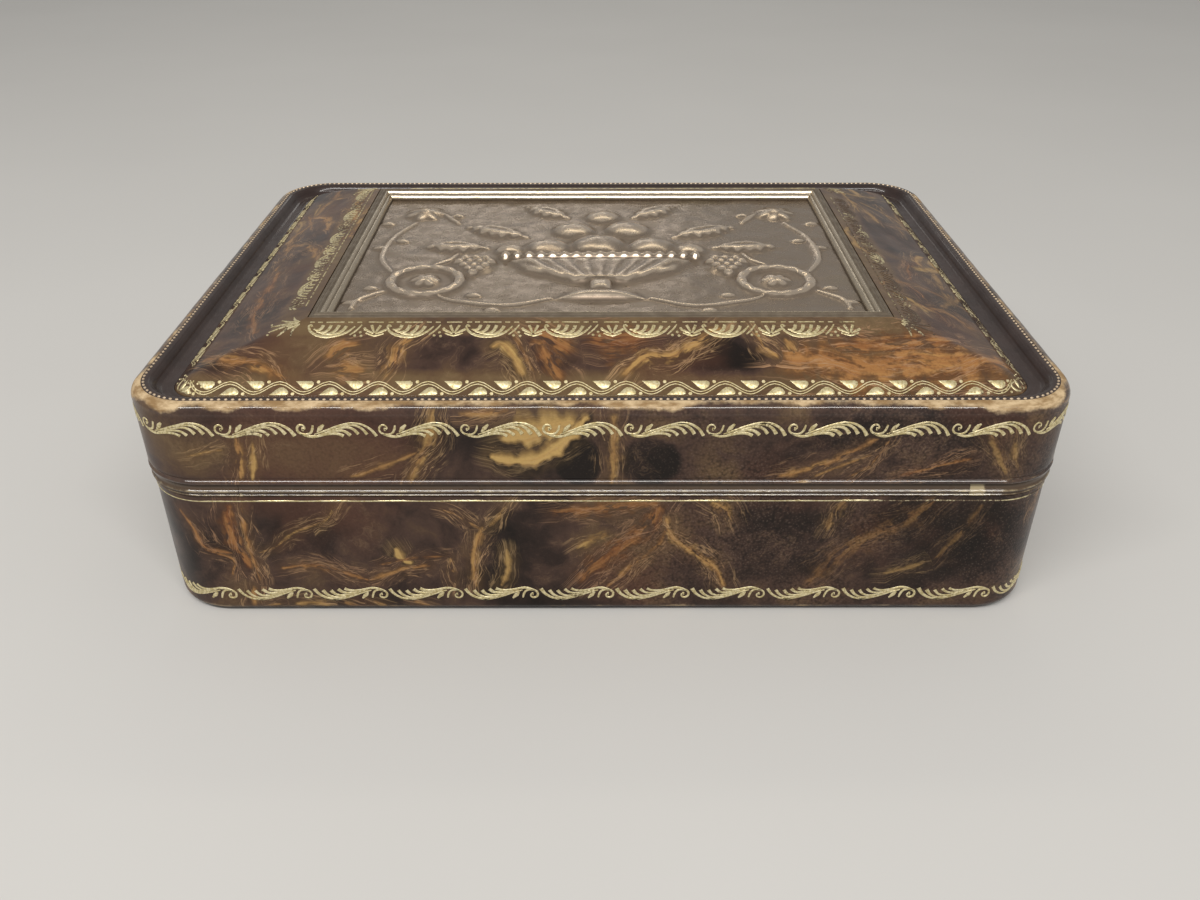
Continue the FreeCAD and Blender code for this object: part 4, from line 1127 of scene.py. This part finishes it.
def leafRoll(turned):
    # acanthus roll: a volute runs under a bud into a leaf with drooping fingers
    roll = {"length": 20.6, "height": 4.6, "relief": 0.09}
    volute = [(1.7, 2.4), (2.25, 2.7), (2.0, 3.4), (1.2, 3.65), (0.45, 3.15), (0.25, 2.2), (0.7, 1.4),
              (1.6, 0.98), (2.7, 0.98), (3.6, 1.5), (4.1, 2.5), (4.35, 3.6)]
    stem = [(1.0, 1.1), (2.3, 0.55), (3.8, 0.3), (5.2, 0.45), (7.0, 0.9), (9.0, 1.2), (10.6, 1.05),
            (11.7, 0.5)]
    spine = [(4.4, 1.0), (7.2, 2.0), (9.8, 3.05), (12.2, 3.8), (14.2, 4.15), (15.6, 3.9)]
    strokes = [
        (volute, (0.4, 0.24, 0.26, 0.3, 0.34, 0.34, 0.34, 0.34, 0.32, 0.34, 0.36, 0.26)),
        (stem, (0.22, 0.35, 0.44, 0.38, 0.36, 0.4, 0.44, 0.55)),
        ([(5.3, 1.7), (6.1, 2.7), (7.1, 3.8)], (0.25, 0.7, 0.3)),
        (spine, (0.17, 0.3, 0.34, 0.36, 0.4, 0.22)),
        ([(1.45, 2.4), (1.95, 2.4)], (0.5, 0.58, 0.5)),
    ]
    fingers = [[(5.4, 0.9), (8.4, 1.72), (10.7, 2.05), (12.3, 1.75), (13.5, 0.7)],
               [(7.8, 1.9), (10.4, 2.6), (12.7, 3.0), (14.4, 2.45), (15.5, 1.1)],
               [(10.6, 3.1), (12.8, 3.6), (14.9, 3.55), (16.6, 2.6), (17.7, 1.05)],
               [(13.4, 4.0), (15.0, 4.15), (16.9, 3.7), (18.8, 2.4), (20.0, 0.55)]]
    strokes += [(finger, (0.16, 0.3, 0.38, 0.45, 0.57)) for finger in fingers]
    solids = []
    for points, widths in strokes:
        points = np.array(points)
        if turned:
            points = np.array([roll["length"], roll["height"]]) - points
        solids.append(strokeSolid(points, widths, roll["relief"]))
    return joinSolids("leafRoll", solids), roll["length"]


for body, hide, turned, copies, level, at in (("lid", lidHide, False, 40, 56.1, 5.6),
                                              ("base", baseHide, True, 39, 3.8, -17)):
    name = body + "_gold_roll"
    motif, motifLength = leafRoll(turned)
    mesh = borderMesh(name, motif, insetBox(hide["face"]), copies, motifLength, level, 90, rollGold, at=at)
    placePiece(name, mesh, rollGold, body, "marbled_leather")


def vineMotif():
    # a waving stem with a half leaf in each hollow and a dot beside each leaf
    vine = {"length": 12.5, "middle": 2.4, "swing": 1.45, "relief": 0.09, "dot": 0.58, "stemGap": 0.36}
    half = vine["length"] / 2
    stem = [(x, vine["middle"] + vine["swing"] * math.cos(math.pi * x / half))
            for x in np.linspace(0, vine["length"], 9)]
    under = [(-2.7, 0.3), (1.9, 0.25), (2.6, 0.6), (2.7, 1.3), (2.1, 2.15), (1.1, 2.75), (0.1, 2.7),
             (-0.9, 2.0), (-1.9, 1.0)]
    over = [(half + 0.95 * x, 2 * vine["middle"] - 1.08 * y) for x, y in under]
    solids = []
    for rise in (-vine["stemGap"], vine["stemGap"]):
        solids.append(strokeSolid([(x, y + rise) for x, y in stem], (0.2, 0.2), vine["relief"], perSpan=2))
    dots = [ringRim(x, y, vine["dot"]) for x, y in ((3.6, 0.75), (half + 3.5, 4.1))]
    solids += [patchSolid(rim, vine["relief"]) for rim in [under, over] + dots]
    return joinSolids("vineMotif", solids), vine["length"]


def clusterMotif():
    # corner ornament on the bevel: an upright leaf between two curling ones, with dots
    cluster = {"relief": 0.09, "dots": (
        (4.1, 1.0, 0.45), (4.3, 2.9, 0.45), (1.45, 3.4, 0.4), (3.5, 4.2, 0.4), (5.5, 1.9, 0.42),
        (5.7, 3.6, 0.4), (6.7, 0.9, 0.4), (6.9, 2.7, 0.38))}
    upright = [(0, 0.4), (0.9, 1.5), (0.75, 3.0), (0, 4.4), (-0.75, 3.0), (-0.9, 1.5)]
    solids = [patchSolid(upright, cluster["relief"])]
    for side in (-1, 1):
        curl = [(side * 0.7, 0.5), (side * 2.2, 1.2), (side * 3.1, 2.6), (side * 2.3, 3.9)]
        solids.append(strokeSolid(curl, (0.15, 0.5, 0.45, 0.15), cluster["relief"]))
        for x, y, radius in cluster["dots"]:
            solids.append(patchSolid(ringRim(side * x, y, radius), cluster["relief"]))
    return joinSolids("clusterMotif", solids)


bevelBox = insetBox(panel["foot"])
bevelTilt = math.degrees(math.atan2(panel["bevelLevel"] - panel["low"], panel["bevelTop"] - panel["foot"]))
alongBevel = (panel["low"], bevelTilt, vineGold)
motif, motifLength = vineMotif()
parts = [borderMesh("vine", motif, bevelBox, 59, motifLength, *alongBevel, at=-6.2, cornerGap=-8)]
halfWay = boxLength(bevelBox) / 2
for corner in (-1, 1):
    at = corner * (bevelBox[0] - bevelBox[2] + math.pi * bevelBox[2] / 4)
    parts.append(borderMesh("cluster", clusterMotif(), bevelBox, 2, halfWay, *alongBevel, at=at))
placePiece("bevel_gold_vine", mergeMeshes("bevel_gold_vine", parts), vineGold, "lid", "marbled_leather")

bead = {"inset": 3.6, "level": 64.98, "copies": 456, "pitch": 1.72, "half": 0.56, "flat": 0.82,
        "relief": 0.2, "shrink": 0.62}
dot = [(bead["pitch"] / 2 + x, bead["flat"] * y) for x, y in ringRim(0, 0, bead["half"])]
motif = joinSolids("beadMotif", [patchSolid(dot, bead["relief"], shrink=bead["shrink"])])
mesh = borderMesh("rim_gold_beads", motif, insetBox(bead["inset"]), bead["copies"], bead["pitch"],
                  bead["level"], 0, beadGold)
placePiece("rim_gold_beads", mesh, beadGold, "lid", "gutter_leather")

fillet = {"level": 36.8, "step": 2.0, "profile": (
    (0.25, -0.3), (-0.02, -0.22), (-0.08, -0.08), (-0.06, 0.02), (0.1, 0.18), (0.25, 0.25))}
profile = [(baseHide["face"] + inset, fillet["level"] + rise) for inset, rise in fillet["profile"]]
points = ringPoints(outlineStations(fillet["step"]), profile)
mesh = buildMesh("base_gold_fillet", points, gridFaces(*points.shape[:2]))
placePiece("base_gold_fillet", mesh, filletGold, "base", "marbled_leather")


def swagMotif():
    # border round the plaque: a boat of packed lobes, a rising stroke among dots, a fan and a broken line
    swag = {"length": 20.8, "relief": 0.1, "line": 5.7, "lineHalf": 0.26, "dot": 0.48,
            "dashes": ((0.1, 1.4), (2.2, 3.5), (4.4, 9.2), (10.2, 11.5), (12.6, 13.9), (15.6, 19.6)),
            "dots": ((12.7, 0.9), (14.0, 2.0), (15.0, 3.3), (14.4, 0.7)),
            "fanFoot": (17.8, 1.3), "fanReach": 3.4, "fanLeans": (-58, -20, 20, 58)}
    keel = [(0.9, 3.9), (0.5, 4.7), (0.0, 4.2), (0.75, 2.4), (2.8, 0.95), (5.4, 0.5), (8.3, 0.9),
            (10.6, 2.2), (12.2, 4.2)]
    strokes = [(keel, (0.45, 0.34, 0.36, 0.48, 0.58, 0.64, 0.58, 0.48, 0.26)),
               ([(11.3, 1.1), (12.9, 2.9), (14.0, 4.7)], (0.25, 0.36, 0.25)),
               ([(15.5, 1.7), (17.8, 0.75), (20.1, 1.7)], (0.3, 0.42, 0.3))]
    lobes = [[(1.6, 3.1), (2.6, 2.8), (3.5, 3.4), (3.8, 4.6)],
             [(2.4, 2.3), (4.1, 2.0), (5.4, 2.9), (5.9, 4.6)],
             [(3.8, 1.6), (5.8, 1.5), (7.4, 2.6), (8.0, 4.5)],
             [(5.6, 1.3), (7.6, 1.4), (9.2, 2.5), (10.0, 4.2)]]
    strokes += [(lobe, (0.28, 0.52, 0.62, 0.62)) for lobe in lobes]
    for lean in swag["fanLeans"]:
        way = np.array([math.sin(math.radians(lean)), math.cos(math.radians(lean))])
        foot = np.array(swag["fanFoot"])
        blade = [tuple(foot + way * share * swag["fanReach"]) for share in (0.1, 0.6, 1.0)]
        strokes.append((blade, (0.25, 0.5, 0.5)))
    solids = [strokeSolid(points, widths, swag["relief"], perSpan=2) for points, widths in strokes]
    solids += [patchSolid(ringRim(x, y, swag["dot"]), swag["relief"]) for x, y in swag["dots"]]
    for start, end in swag["dashes"]:
        dash = [(start, swag["line"]), (end, swag["line"])]
        solids.append(strokeSolid(dash, (swag["lineHalf"],) * 2, swag["relief"], perSpan=1))
    return joinSolids("swagMotif", solids), swag["length"]


def spraySolids():
    # a bundle of leaf strokes at each corner of the plaque, pointing out to the side
    spray = {"footX": 79.0, "footY": 56.6, "lean": 8, "relief": 0.1, "dot": 0.45,
             "leaves": ((-52, 5.0, 0.5), (-30, 7.0, 0.62), (-10, 8.6, 0.7), (10, 8.8, 0.7), (30, 7.6, 0.62),
                        (52, 5.6, 0.5)),
             "bends": ((0.12, 0.6), (0.55, 0.85), (1, 1.15)), "dots": ((-20, 8.9), (20, 9.3))}

    def reachTo(lean, reach, handX, handY):
        turn = math.radians(lean + spray["lean"])
        x, y = spray["footX"] + reach * math.cos(turn), spray["footY"] + reach * math.sin(turn)
        return handX * x, handY * y

    solids = []
    for hands in ((1, 1), (-1, 1), (-1, -1), (1, -1)):
        for lean, reach, girth in spray["leaves"]:
            points = [reachTo(lean * bend, reach * share, *hands) for share, bend in spray["bends"]]
            solids.append(strokeSolid(points, (0.22, girth, girth * 0.8, 0.2), spray["relief"]))
        for lean, reach in spray["dots"]:
            solids.append(patchSolid(ringRim(*reachTo(lean, reach, *hands), spray["dot"]), spray["relief"]))
    return solids


borderBox = (86.2, 62.2, 7.0)
motif, motifLength = swagMotif()
flat = borderMesh("swag", motif, borderBox, 28, motifLength, 0.0, 0, borderGold, at=6, cornerGap=-10.5)
flat = mergeMeshes("plaque_gold_border", [flat, joinSolids("spray", spraySolids())])
mesh = runTree(laidTooling, flat, {"Surface": panelHide, "Finish": borderGold})
mesh.name = "plaque_gold_border"
placePiece("plaque_gold_border", mesh, borderGold, "lid", "marbled_leather")
print("gold tooling laid")


# Embossed plaque: one height field with the solid's main forms, finished with veins, petals, flutes and beads
# Places of the main forms are shares of the window, those of stems and small leaves are in mm
plaque = {"halfX": 77.6, "halfY": 54.1, "windowX": 73.0, "windowY": 49.5, "level": 70.2, "low": 69.4,
          "step": 0.45, "highest": 2.95}
relief = {
    "fruits": [(-0.01, 0.08, 9.5, 2.6), (-0.23, 0.03, 8.0, 2.4), (0.22, 0.05, 8.5, 2.4),
               (-0.12, 0.34, 7.5, 2.3), (0.12, 0.36, 8.0, 2.4), (0.01, 0.6, 6.5, 2.1),
               (0.38, -0.01, 5.5, 1.9), (-0.38, -0.02, 5.5, 1.9)],
    "bowlRise": 2.0, "crowns": {"rim": 0.1, "body": 0.7, "stem": 0.3, "foot": 0.15},
    "rim": [(-0.43, -0.17), (0.43, -0.17), (0.43, -0.09), (-0.43, -0.09)],
    "body": [(-0.4, -0.17), (-0.33, -0.36), (-0.12, -0.54), (0.12, -0.54), (0.33, -0.36), (0.4, -0.17)],
    "stem": [(-0.06, -0.5), (-0.05, -0.68), (0.05, -0.68), (0.06, -0.5)],
    "foot": [(-0.15, -0.66), (-0.19, -0.77), (0.19, -0.77), (0.15, -0.66)],
    "beads": (29, 17, -0.13), "bead": (1.5, 2.5),
    "leaves": [((0.3, 0.22), (0.62, 0.44)), ((0.46, 0.04), (0.78, 0.06)), ((0.13, 0.58), (0.36, 0.84))],
    "leafHalf": 4.8, "leafRise": 1.7, "keel": 0.35, "veinPitch": 3.6,
    "grapes": (0.52, -0.27, 7.0, 1.5), "grapeRows": (3, 4, 3, 2, 1), "grape": (1.9, 2.1),
    "scroll": (0.7, -0.5, 10.0, 2.0, 1.5), "boss": (5.0, 1.9),
    "flower": (0.81, 0.68, 7.5, 1.6), "eye": (2.2, 2.1),
    "stems": [[(14, -37), (26, -42), (40, -39), (47, -35)], [(61, -20), (67, -6), (66, 12), (61, 25)],
              [(51, -13), (46, -8), (44, -3)], [(62, -32), (68, -38), (69, -44)],
              [(47, 25), (51, 31), (53, 34)]],
    "stemSize": (1.1, 0.8), "smallLeaf": (2.6, 0.9),
    "smallLeaves": [(30, -45), (36, -35), (69, 2), (63, 8), (70, -40), (66, -30), (48, 32), (70, 24)],
}
countX, countY = [round(2 * plaque[key] / plaque["step"]) + 1 for key in ("halfX", "halfY")]
gridX, gridY = np.meshgrid(np.linspace(-plaque["halfX"], plaque["halfX"], countX),
                           np.linspace(-plaque["halfY"], plaque["halfY"], countY), indexing="ij")
height = np.zeros(gridX.shape)


def onWindow(x, y):
    return np.array([x * plaque["windowX"], y * plaque["windowY"]])


def capOf(gap, radius, rise):
    ball = (radius ** 2 + rise ** 2) / (2 * rise)
    cap = np.sqrt(np.maximum(ball ** 2 - gap ** 2, 0)) - (ball - rise)
    return np.where(gap < radius, cap, 0)


def gapTo(x, y):
    return np.hypot(gridX - x, gridY - y)


def bearing(x, y):
    return np.arctan2(gridY - y, gridX - x)


def raiseTo(lift):
    np.maximum(height, lift, out=height)


def moundOf(corners, rise, crown, scallop=0.0):
    corners = np.array(corners)
    middle = corners.mean(0)
    gauge = np.zeros(gridX.shape)
    for first, second in zip(corners, np.roll(corners, -1, 0)):
        normal = np.array([second[1] - first[1], first[0] - second[0]])
        across = (gridX - middle[0]) * normal[0] + (gridY - middle[1]) * normal[1]
        gauge = np.maximum(gauge, across / (normal @ (first - middle)))
    return rise * np.sin(math.pi / 2 * np.clip((1 - gauge * (1 + scallop)) / (1 - crown), 0, 1))


def raiseStem(points, half, rise):
    path = smoothPath(points, 8)
    places = np.stack([gridX, gridY], -1).reshape(-1, 2)
    near = np.flatnonzero(np.all((places > path.min(0) - half) & (places < path.max(0) + half), 1))
    gap, along, _, total = nearPath(places[near], path)
    thin = half * np.sin(math.pi * np.clip(along / total, 0.08, 0.92)) ** 0.4
    lift = np.zeros(gridX.size)
    lift[near] = rise * np.sqrt(np.clip(1 - (gap / thin) ** 2, 0, 1))
    raiseTo(lift.reshape(gridX.shape))


def raiseLeaf(start, end):
    way = end - start
    size = math.hypot(*way)
    side = np.array([-way[1], way[0]]) / size
    reach = side * relief["leafHalf"]
    corners = [start, start + way / 3 + reach, end - way / 3 + reach, end, end - way / 3 - reach,
               start + way / 3 - reach]
    along = ((gridX - start[0]) * way[0] + (gridY - start[1]) * way[1]) / size
    across = np.abs((gridX - start[0]) * side[0] + (gridY - start[1]) * side[1])
    scallop = 0.07 * np.cos(2 * math.pi * along / relief["veinPitch"])
    veins = 0.5 * np.exp(-(across / 0.6) ** 2)
    veins = veins + 0.12 * np.cos(math.pi * (along - 0.8 * across) / relief["veinPitch"]) ** 2
    raiseTo(moundOf(corners, relief["leafRise"], relief["keel"], scallop) * (1 - 0.35 * veins))


for x, y, radius, rise in relief["fruits"]:
    x, y = onWindow(x, y)
    calyx = gapTo(x - 0.25 * radius, y + 0.35 * radius)
    ring = 0.15 * np.exp(-((calyx - 2.0) / 0.7) ** 2) * (gapTo(x, y) < 0.9 * radius)
    raiseTo(capOf(gapTo(x, y), radius, rise) - 0.4 * np.exp(-(calyx / 1.1) ** 2) + ring)
bowl = {key: moundOf([onWindow(*corner) for corner in relief[key]], relief["bowlRise"], crown)
        for key, crown in relief["crowns"].items()}
fluting = 10 + 20 * np.clip((gridY + 28) / 20, 0, 1)
bowl["body"] = bowl["body"] * (0.88 + 0.16 * np.abs(np.cos(math.pi * 5 * gridX / fluting)))
for mound in bowl.values():
    raiseTo(mound)
reach, count, level = relief["beads"]
for x in np.linspace(-reach, reach, count):
    raiseTo(capOf(gapTo(x, level * plaque["windowY"]), *relief["bead"]))
for hand in (-1, 1):
    for ends in relief["leaves"]:
        raiseLeaf(*[onWindow(hand * x, y) for x, y in ends])
    x, y, radius, rise = relief["grapes"]
    x, y = onWindow(hand * x, y)
    raiseTo(capOf(gapTo(x, y), radius, rise))
    radius, rise = relief["grape"]
    for row, count in enumerate(relief["grapeRows"]):
        for k in range(count):
            gap = gapTo(x + 3.1 * (k - (count - 1) / 2), y + 4.8 - 2.6 * row)
            raiseTo(capOf(gap, radius, rise - 0.1 * row))
    x, y, radius, half, rise = relief["scroll"]
    x, y = onWindow(hand * x, y)
    raiseTo(capOf(np.abs(gapTo(x, y) - radius), half, rise) * (0.9 + 0.1 * np.cos(14 * bearing(x, y))))
    raiseTo(capOf(gapTo(x, y), *relief["boss"]) * (0.84 + 0.16 * np.cos(6 * bearing(x, y))))
    x, y, radius, rise = relief["flower"]
    x, y = onWindow(hand * x, y)
    petals = 0.78 + 0.22 * np.abs(np.cos(3.5 * bearing(x, y)))
    raiseTo(capOf(gapTo(x, y) / petals, radius, rise))
    raiseTo(capOf(gapTo(x, y), *relief["eye"]))
    for stem in relief["stems"]:
        raiseStem([(hand * x, y) for x, y in stem], *relief["stemSize"])
    for x, y in relief["smallLeaves"]:
        raiseTo(capOf(np.hypot(gridX - hand * x, 1.5 * (gridY - y)), *relief["smallLeaf"]))


def soften(field, passes):
    for k in range(passes):
        padded = np.pad(field, 1, mode="edge")
        beside = padded[:-2, 1:-1] + padded[2:, 1:-1] + padded[1:-1, :-2] + padded[1:-1, 2:]
        field = (beside + 2 * field) / 6
    return field


# Hammered ground, as (passes of softening, depth) of each seeded layer
draw = np.random.default_rng(51)
ground = 0.2
for passes, depth in ((60, 0.05), (6, 0.006), (16, 0.02)):
    layer = soften(draw.normal(0, 1, height.shape), passes)
    ground = ground + depth * layer / layer.std()
margin = np.clip(np.minimum(plaque["halfX"] - abs(gridX), plaque["halfY"] - abs(gridY)) / 5, 0, 1)
height = np.clip(soften(height, 2) + ground * margin, 0, plaque["highest"])
hollow = np.clip((soften(height, 30) - height) / 0.8 + 0.24, 0, 1)
top = np.stack([gridX, gridY, plaque["level"] + height], -1).reshape(-1, 3)
faces = gridFaces(countX, countY, loopAlong=False, loopAcross=False)[:-2]
ids = np.arange(countX * countY).reshape(countX, countY)
rim = np.concatenate([ids[:-1, 0], ids[-1, :-1], ids[:0:-1, -1], ids[0, :0:-1]])
lowIds = np.arange(len(rim)) + len(top)
low = top[rim] * np.array([1, 1, 0]) + np.array([0, 0, plaque["low"]])
after = np.roll(np.arange(len(rim)), -1)
faces += np.stack([rim, lowIds, lowIds[after], rim[after]], -1).tolist() + [lowIds.tolist()]
fields = {"hollow": np.concatenate([hollow.ravel(), np.zeros(len(low))])}
mesh = buildMesh("embossed_plaque", np.vstack([top, low]), faces, fields, sharp=60)
placePiece("embossed_plaque", mesh, plaquePewter, "lid", "pewter", "plaque")

# Reeded frame: one profile carried round a rectangle, with slight unevenness along it
moulding = {"halfX": 78.05, "halfY": 54.55, "back": 70.25, "lowest": 70.3, "highest": 73.38, "width": 5.0,
            "reeds": 4, "reedDepth": 0.28, "uneven": 0.02, "evenEdge": 0.2, "dirt": 0.9}
shares = np.linspace(0, 1, 61)
reeding = np.abs(np.sin(math.pi * moulding["reeds"] * shares))
ridge = np.interp(shares, [0, 0.05, 0.4, 0.62, 1], [72.4, 72.62, 73.12, 72.8, 70.9])
ridge = np.clip(ridge + moulding["reedDepth"] * (reeding - 0.1), moulding["lowest"], moulding["highest"])
profile = [(0.0, moulding["back"]), *zip((shares * moulding["width"]).tolist(), ridge.tolist()),
           (moulding["width"], moulding["back"])]
rows = []
draw = np.random.default_rng(61)
for startX, startY, endX, endY in ((-1, -1, 1, -1), (1, -1, 1, 1), (1, 1, -1, 1), (-1, 1, -1, -1)):
    count = 90 if startY == endY else 64
    for t in np.linspace(0, 1, count, endpoint=False):
        nudge = draw.normal(0, moulding["uneven"])
        x, y = startX + (endX - startX) * t, startY + (endY - startY) * t
        row = []
        for inset, level in profile:
            level += nudge * (moulding["evenEdge"] < inset < moulding["width"] - moulding["evenEdge"])
            row.append((x * (moulding["halfX"] - inset), y * (moulding["halfY"] - inset),
                        min(level, moulding["highest"])))
        rows.append(row)
points = np.array(rows)
valley = np.maximum(moulding["dirt"] * (1 - reeding) ** 2,
                    np.interp(shares, [0, 0.5, 0.62, 1], [0.8, 0.75, 0.1, 0.15]))
valley = np.concatenate([[moulding["dirt"]], valley, [moulding["dirt"]]])
fields = {"hollow": np.tile(valley, len(points))}
mesh = buildMesh("reeded_frame", points, gridFaces(*points.shape[:2]), fields, sharp=50)
placePiece("reeded_frame", mesh, framePewter, "lid", "pewter", "plaque_frame")
print("plaque and frame built")


# Stage, light and camera
stage = {"half": 6.0, "level": -0.0002, "backdrop": 0.42}
floorMesh = bpy.data.meshes.new("floor")
floorMesh.from_pydata([(x * stage["half"], y * stage["half"], stage["level"])
                       for x, y in ((-1, -1), (1, -1), (1, 1), (-1, 1))], [], [(0, 1, 2, 3)])
floor = bpy.data.objects.new("floor", floorMesh)
bpy.context.scene.collection.objects.link(floor)
floorMaterial, tree, shader, place = startMaterial("paleFloor")
shade = blendColour(tree, noise(tree, place, 6, 2), rgb(0.63, 0.625, 0.61), rgb(0.67, 0.665, 0.65))
setShader(tree, shader, Base_Color=shade, Roughness=0.9, Specular_IOR_Level=0.1)
floorMesh.materials.append(floorMaterial)

world = bpy.data.worlds.new("studio")
bpy.context.scene.world = world
world.use_nodes = True
backdrop = world.node_tree.nodes["Background"]
backdrop.inputs["Color"].default_value = rgb(1.0, 0.98, 0.95)
backdrop.inputs["Strength"].default_value = stage["backdrop"]


def softLight(name, place, aim, size, power, colour):
    lamp = bpy.data.lights.new(name, "AREA")
    lamp.shape, lamp.size, lamp.size_y, lamp.energy, lamp.color = "RECTANGLE", *size, power, colour
    holder = bpy.data.objects.new(name, lamp)
    holder.location = place
    way = np.array(aim) - np.array(place)
    flatWay = math.hypot(way[0], way[1])
    holder.rotation_euler = (math.atan2(flatWay, -way[2]), 0.0, math.atan2(-way[0], way[1]))
    bpy.context.scene.collection.objects.link(holder)


softLight("keyBox", (-0.1, -0.62, 0.9), (0, -0.02, 0.04), (1.4, 0.1), 9, (1.0, 0.97, 0.93))
softLight("lowStrip", (-0.1, 1.3, 0.6), (0, 0, 0.07), (0.5, 0.06), 0.2, (1.0, 0.97, 0.92))
softLight("backStrip", (0.05, 0.85, 1.05), (0, 0, 0.07), (0.8, 0.1), 0.8, (1.0, 0.92, 0.74))

# The camera that was fitted to the photograph
view = {"sensor": 36.0, "lens": 31.0, "near": 0.01, "place": (-0.000778, -0.306556, 0.187813),
        "down": 0.5560, "turn": -0.0021}
camera = bpy.data.cameras.new("photoCamera")
camera.sensor_width, camera.lens, camera.clip_start = view["sensor"], view["lens"], view["near"]
cameraHolder = bpy.data.objects.new("photoCamera", camera)
cameraHolder.location = view["place"]
cameraHolder.rotation_euler = (math.pi / 2 - view["down"], 0.0, view["turn"])
bpy.context.scene.collection.objects.link(cameraHolder)
bpy.context.scene.camera = cameraHolder
bpy.context.scene.view_settings.view_transform = "Standard"

print("scene ready")
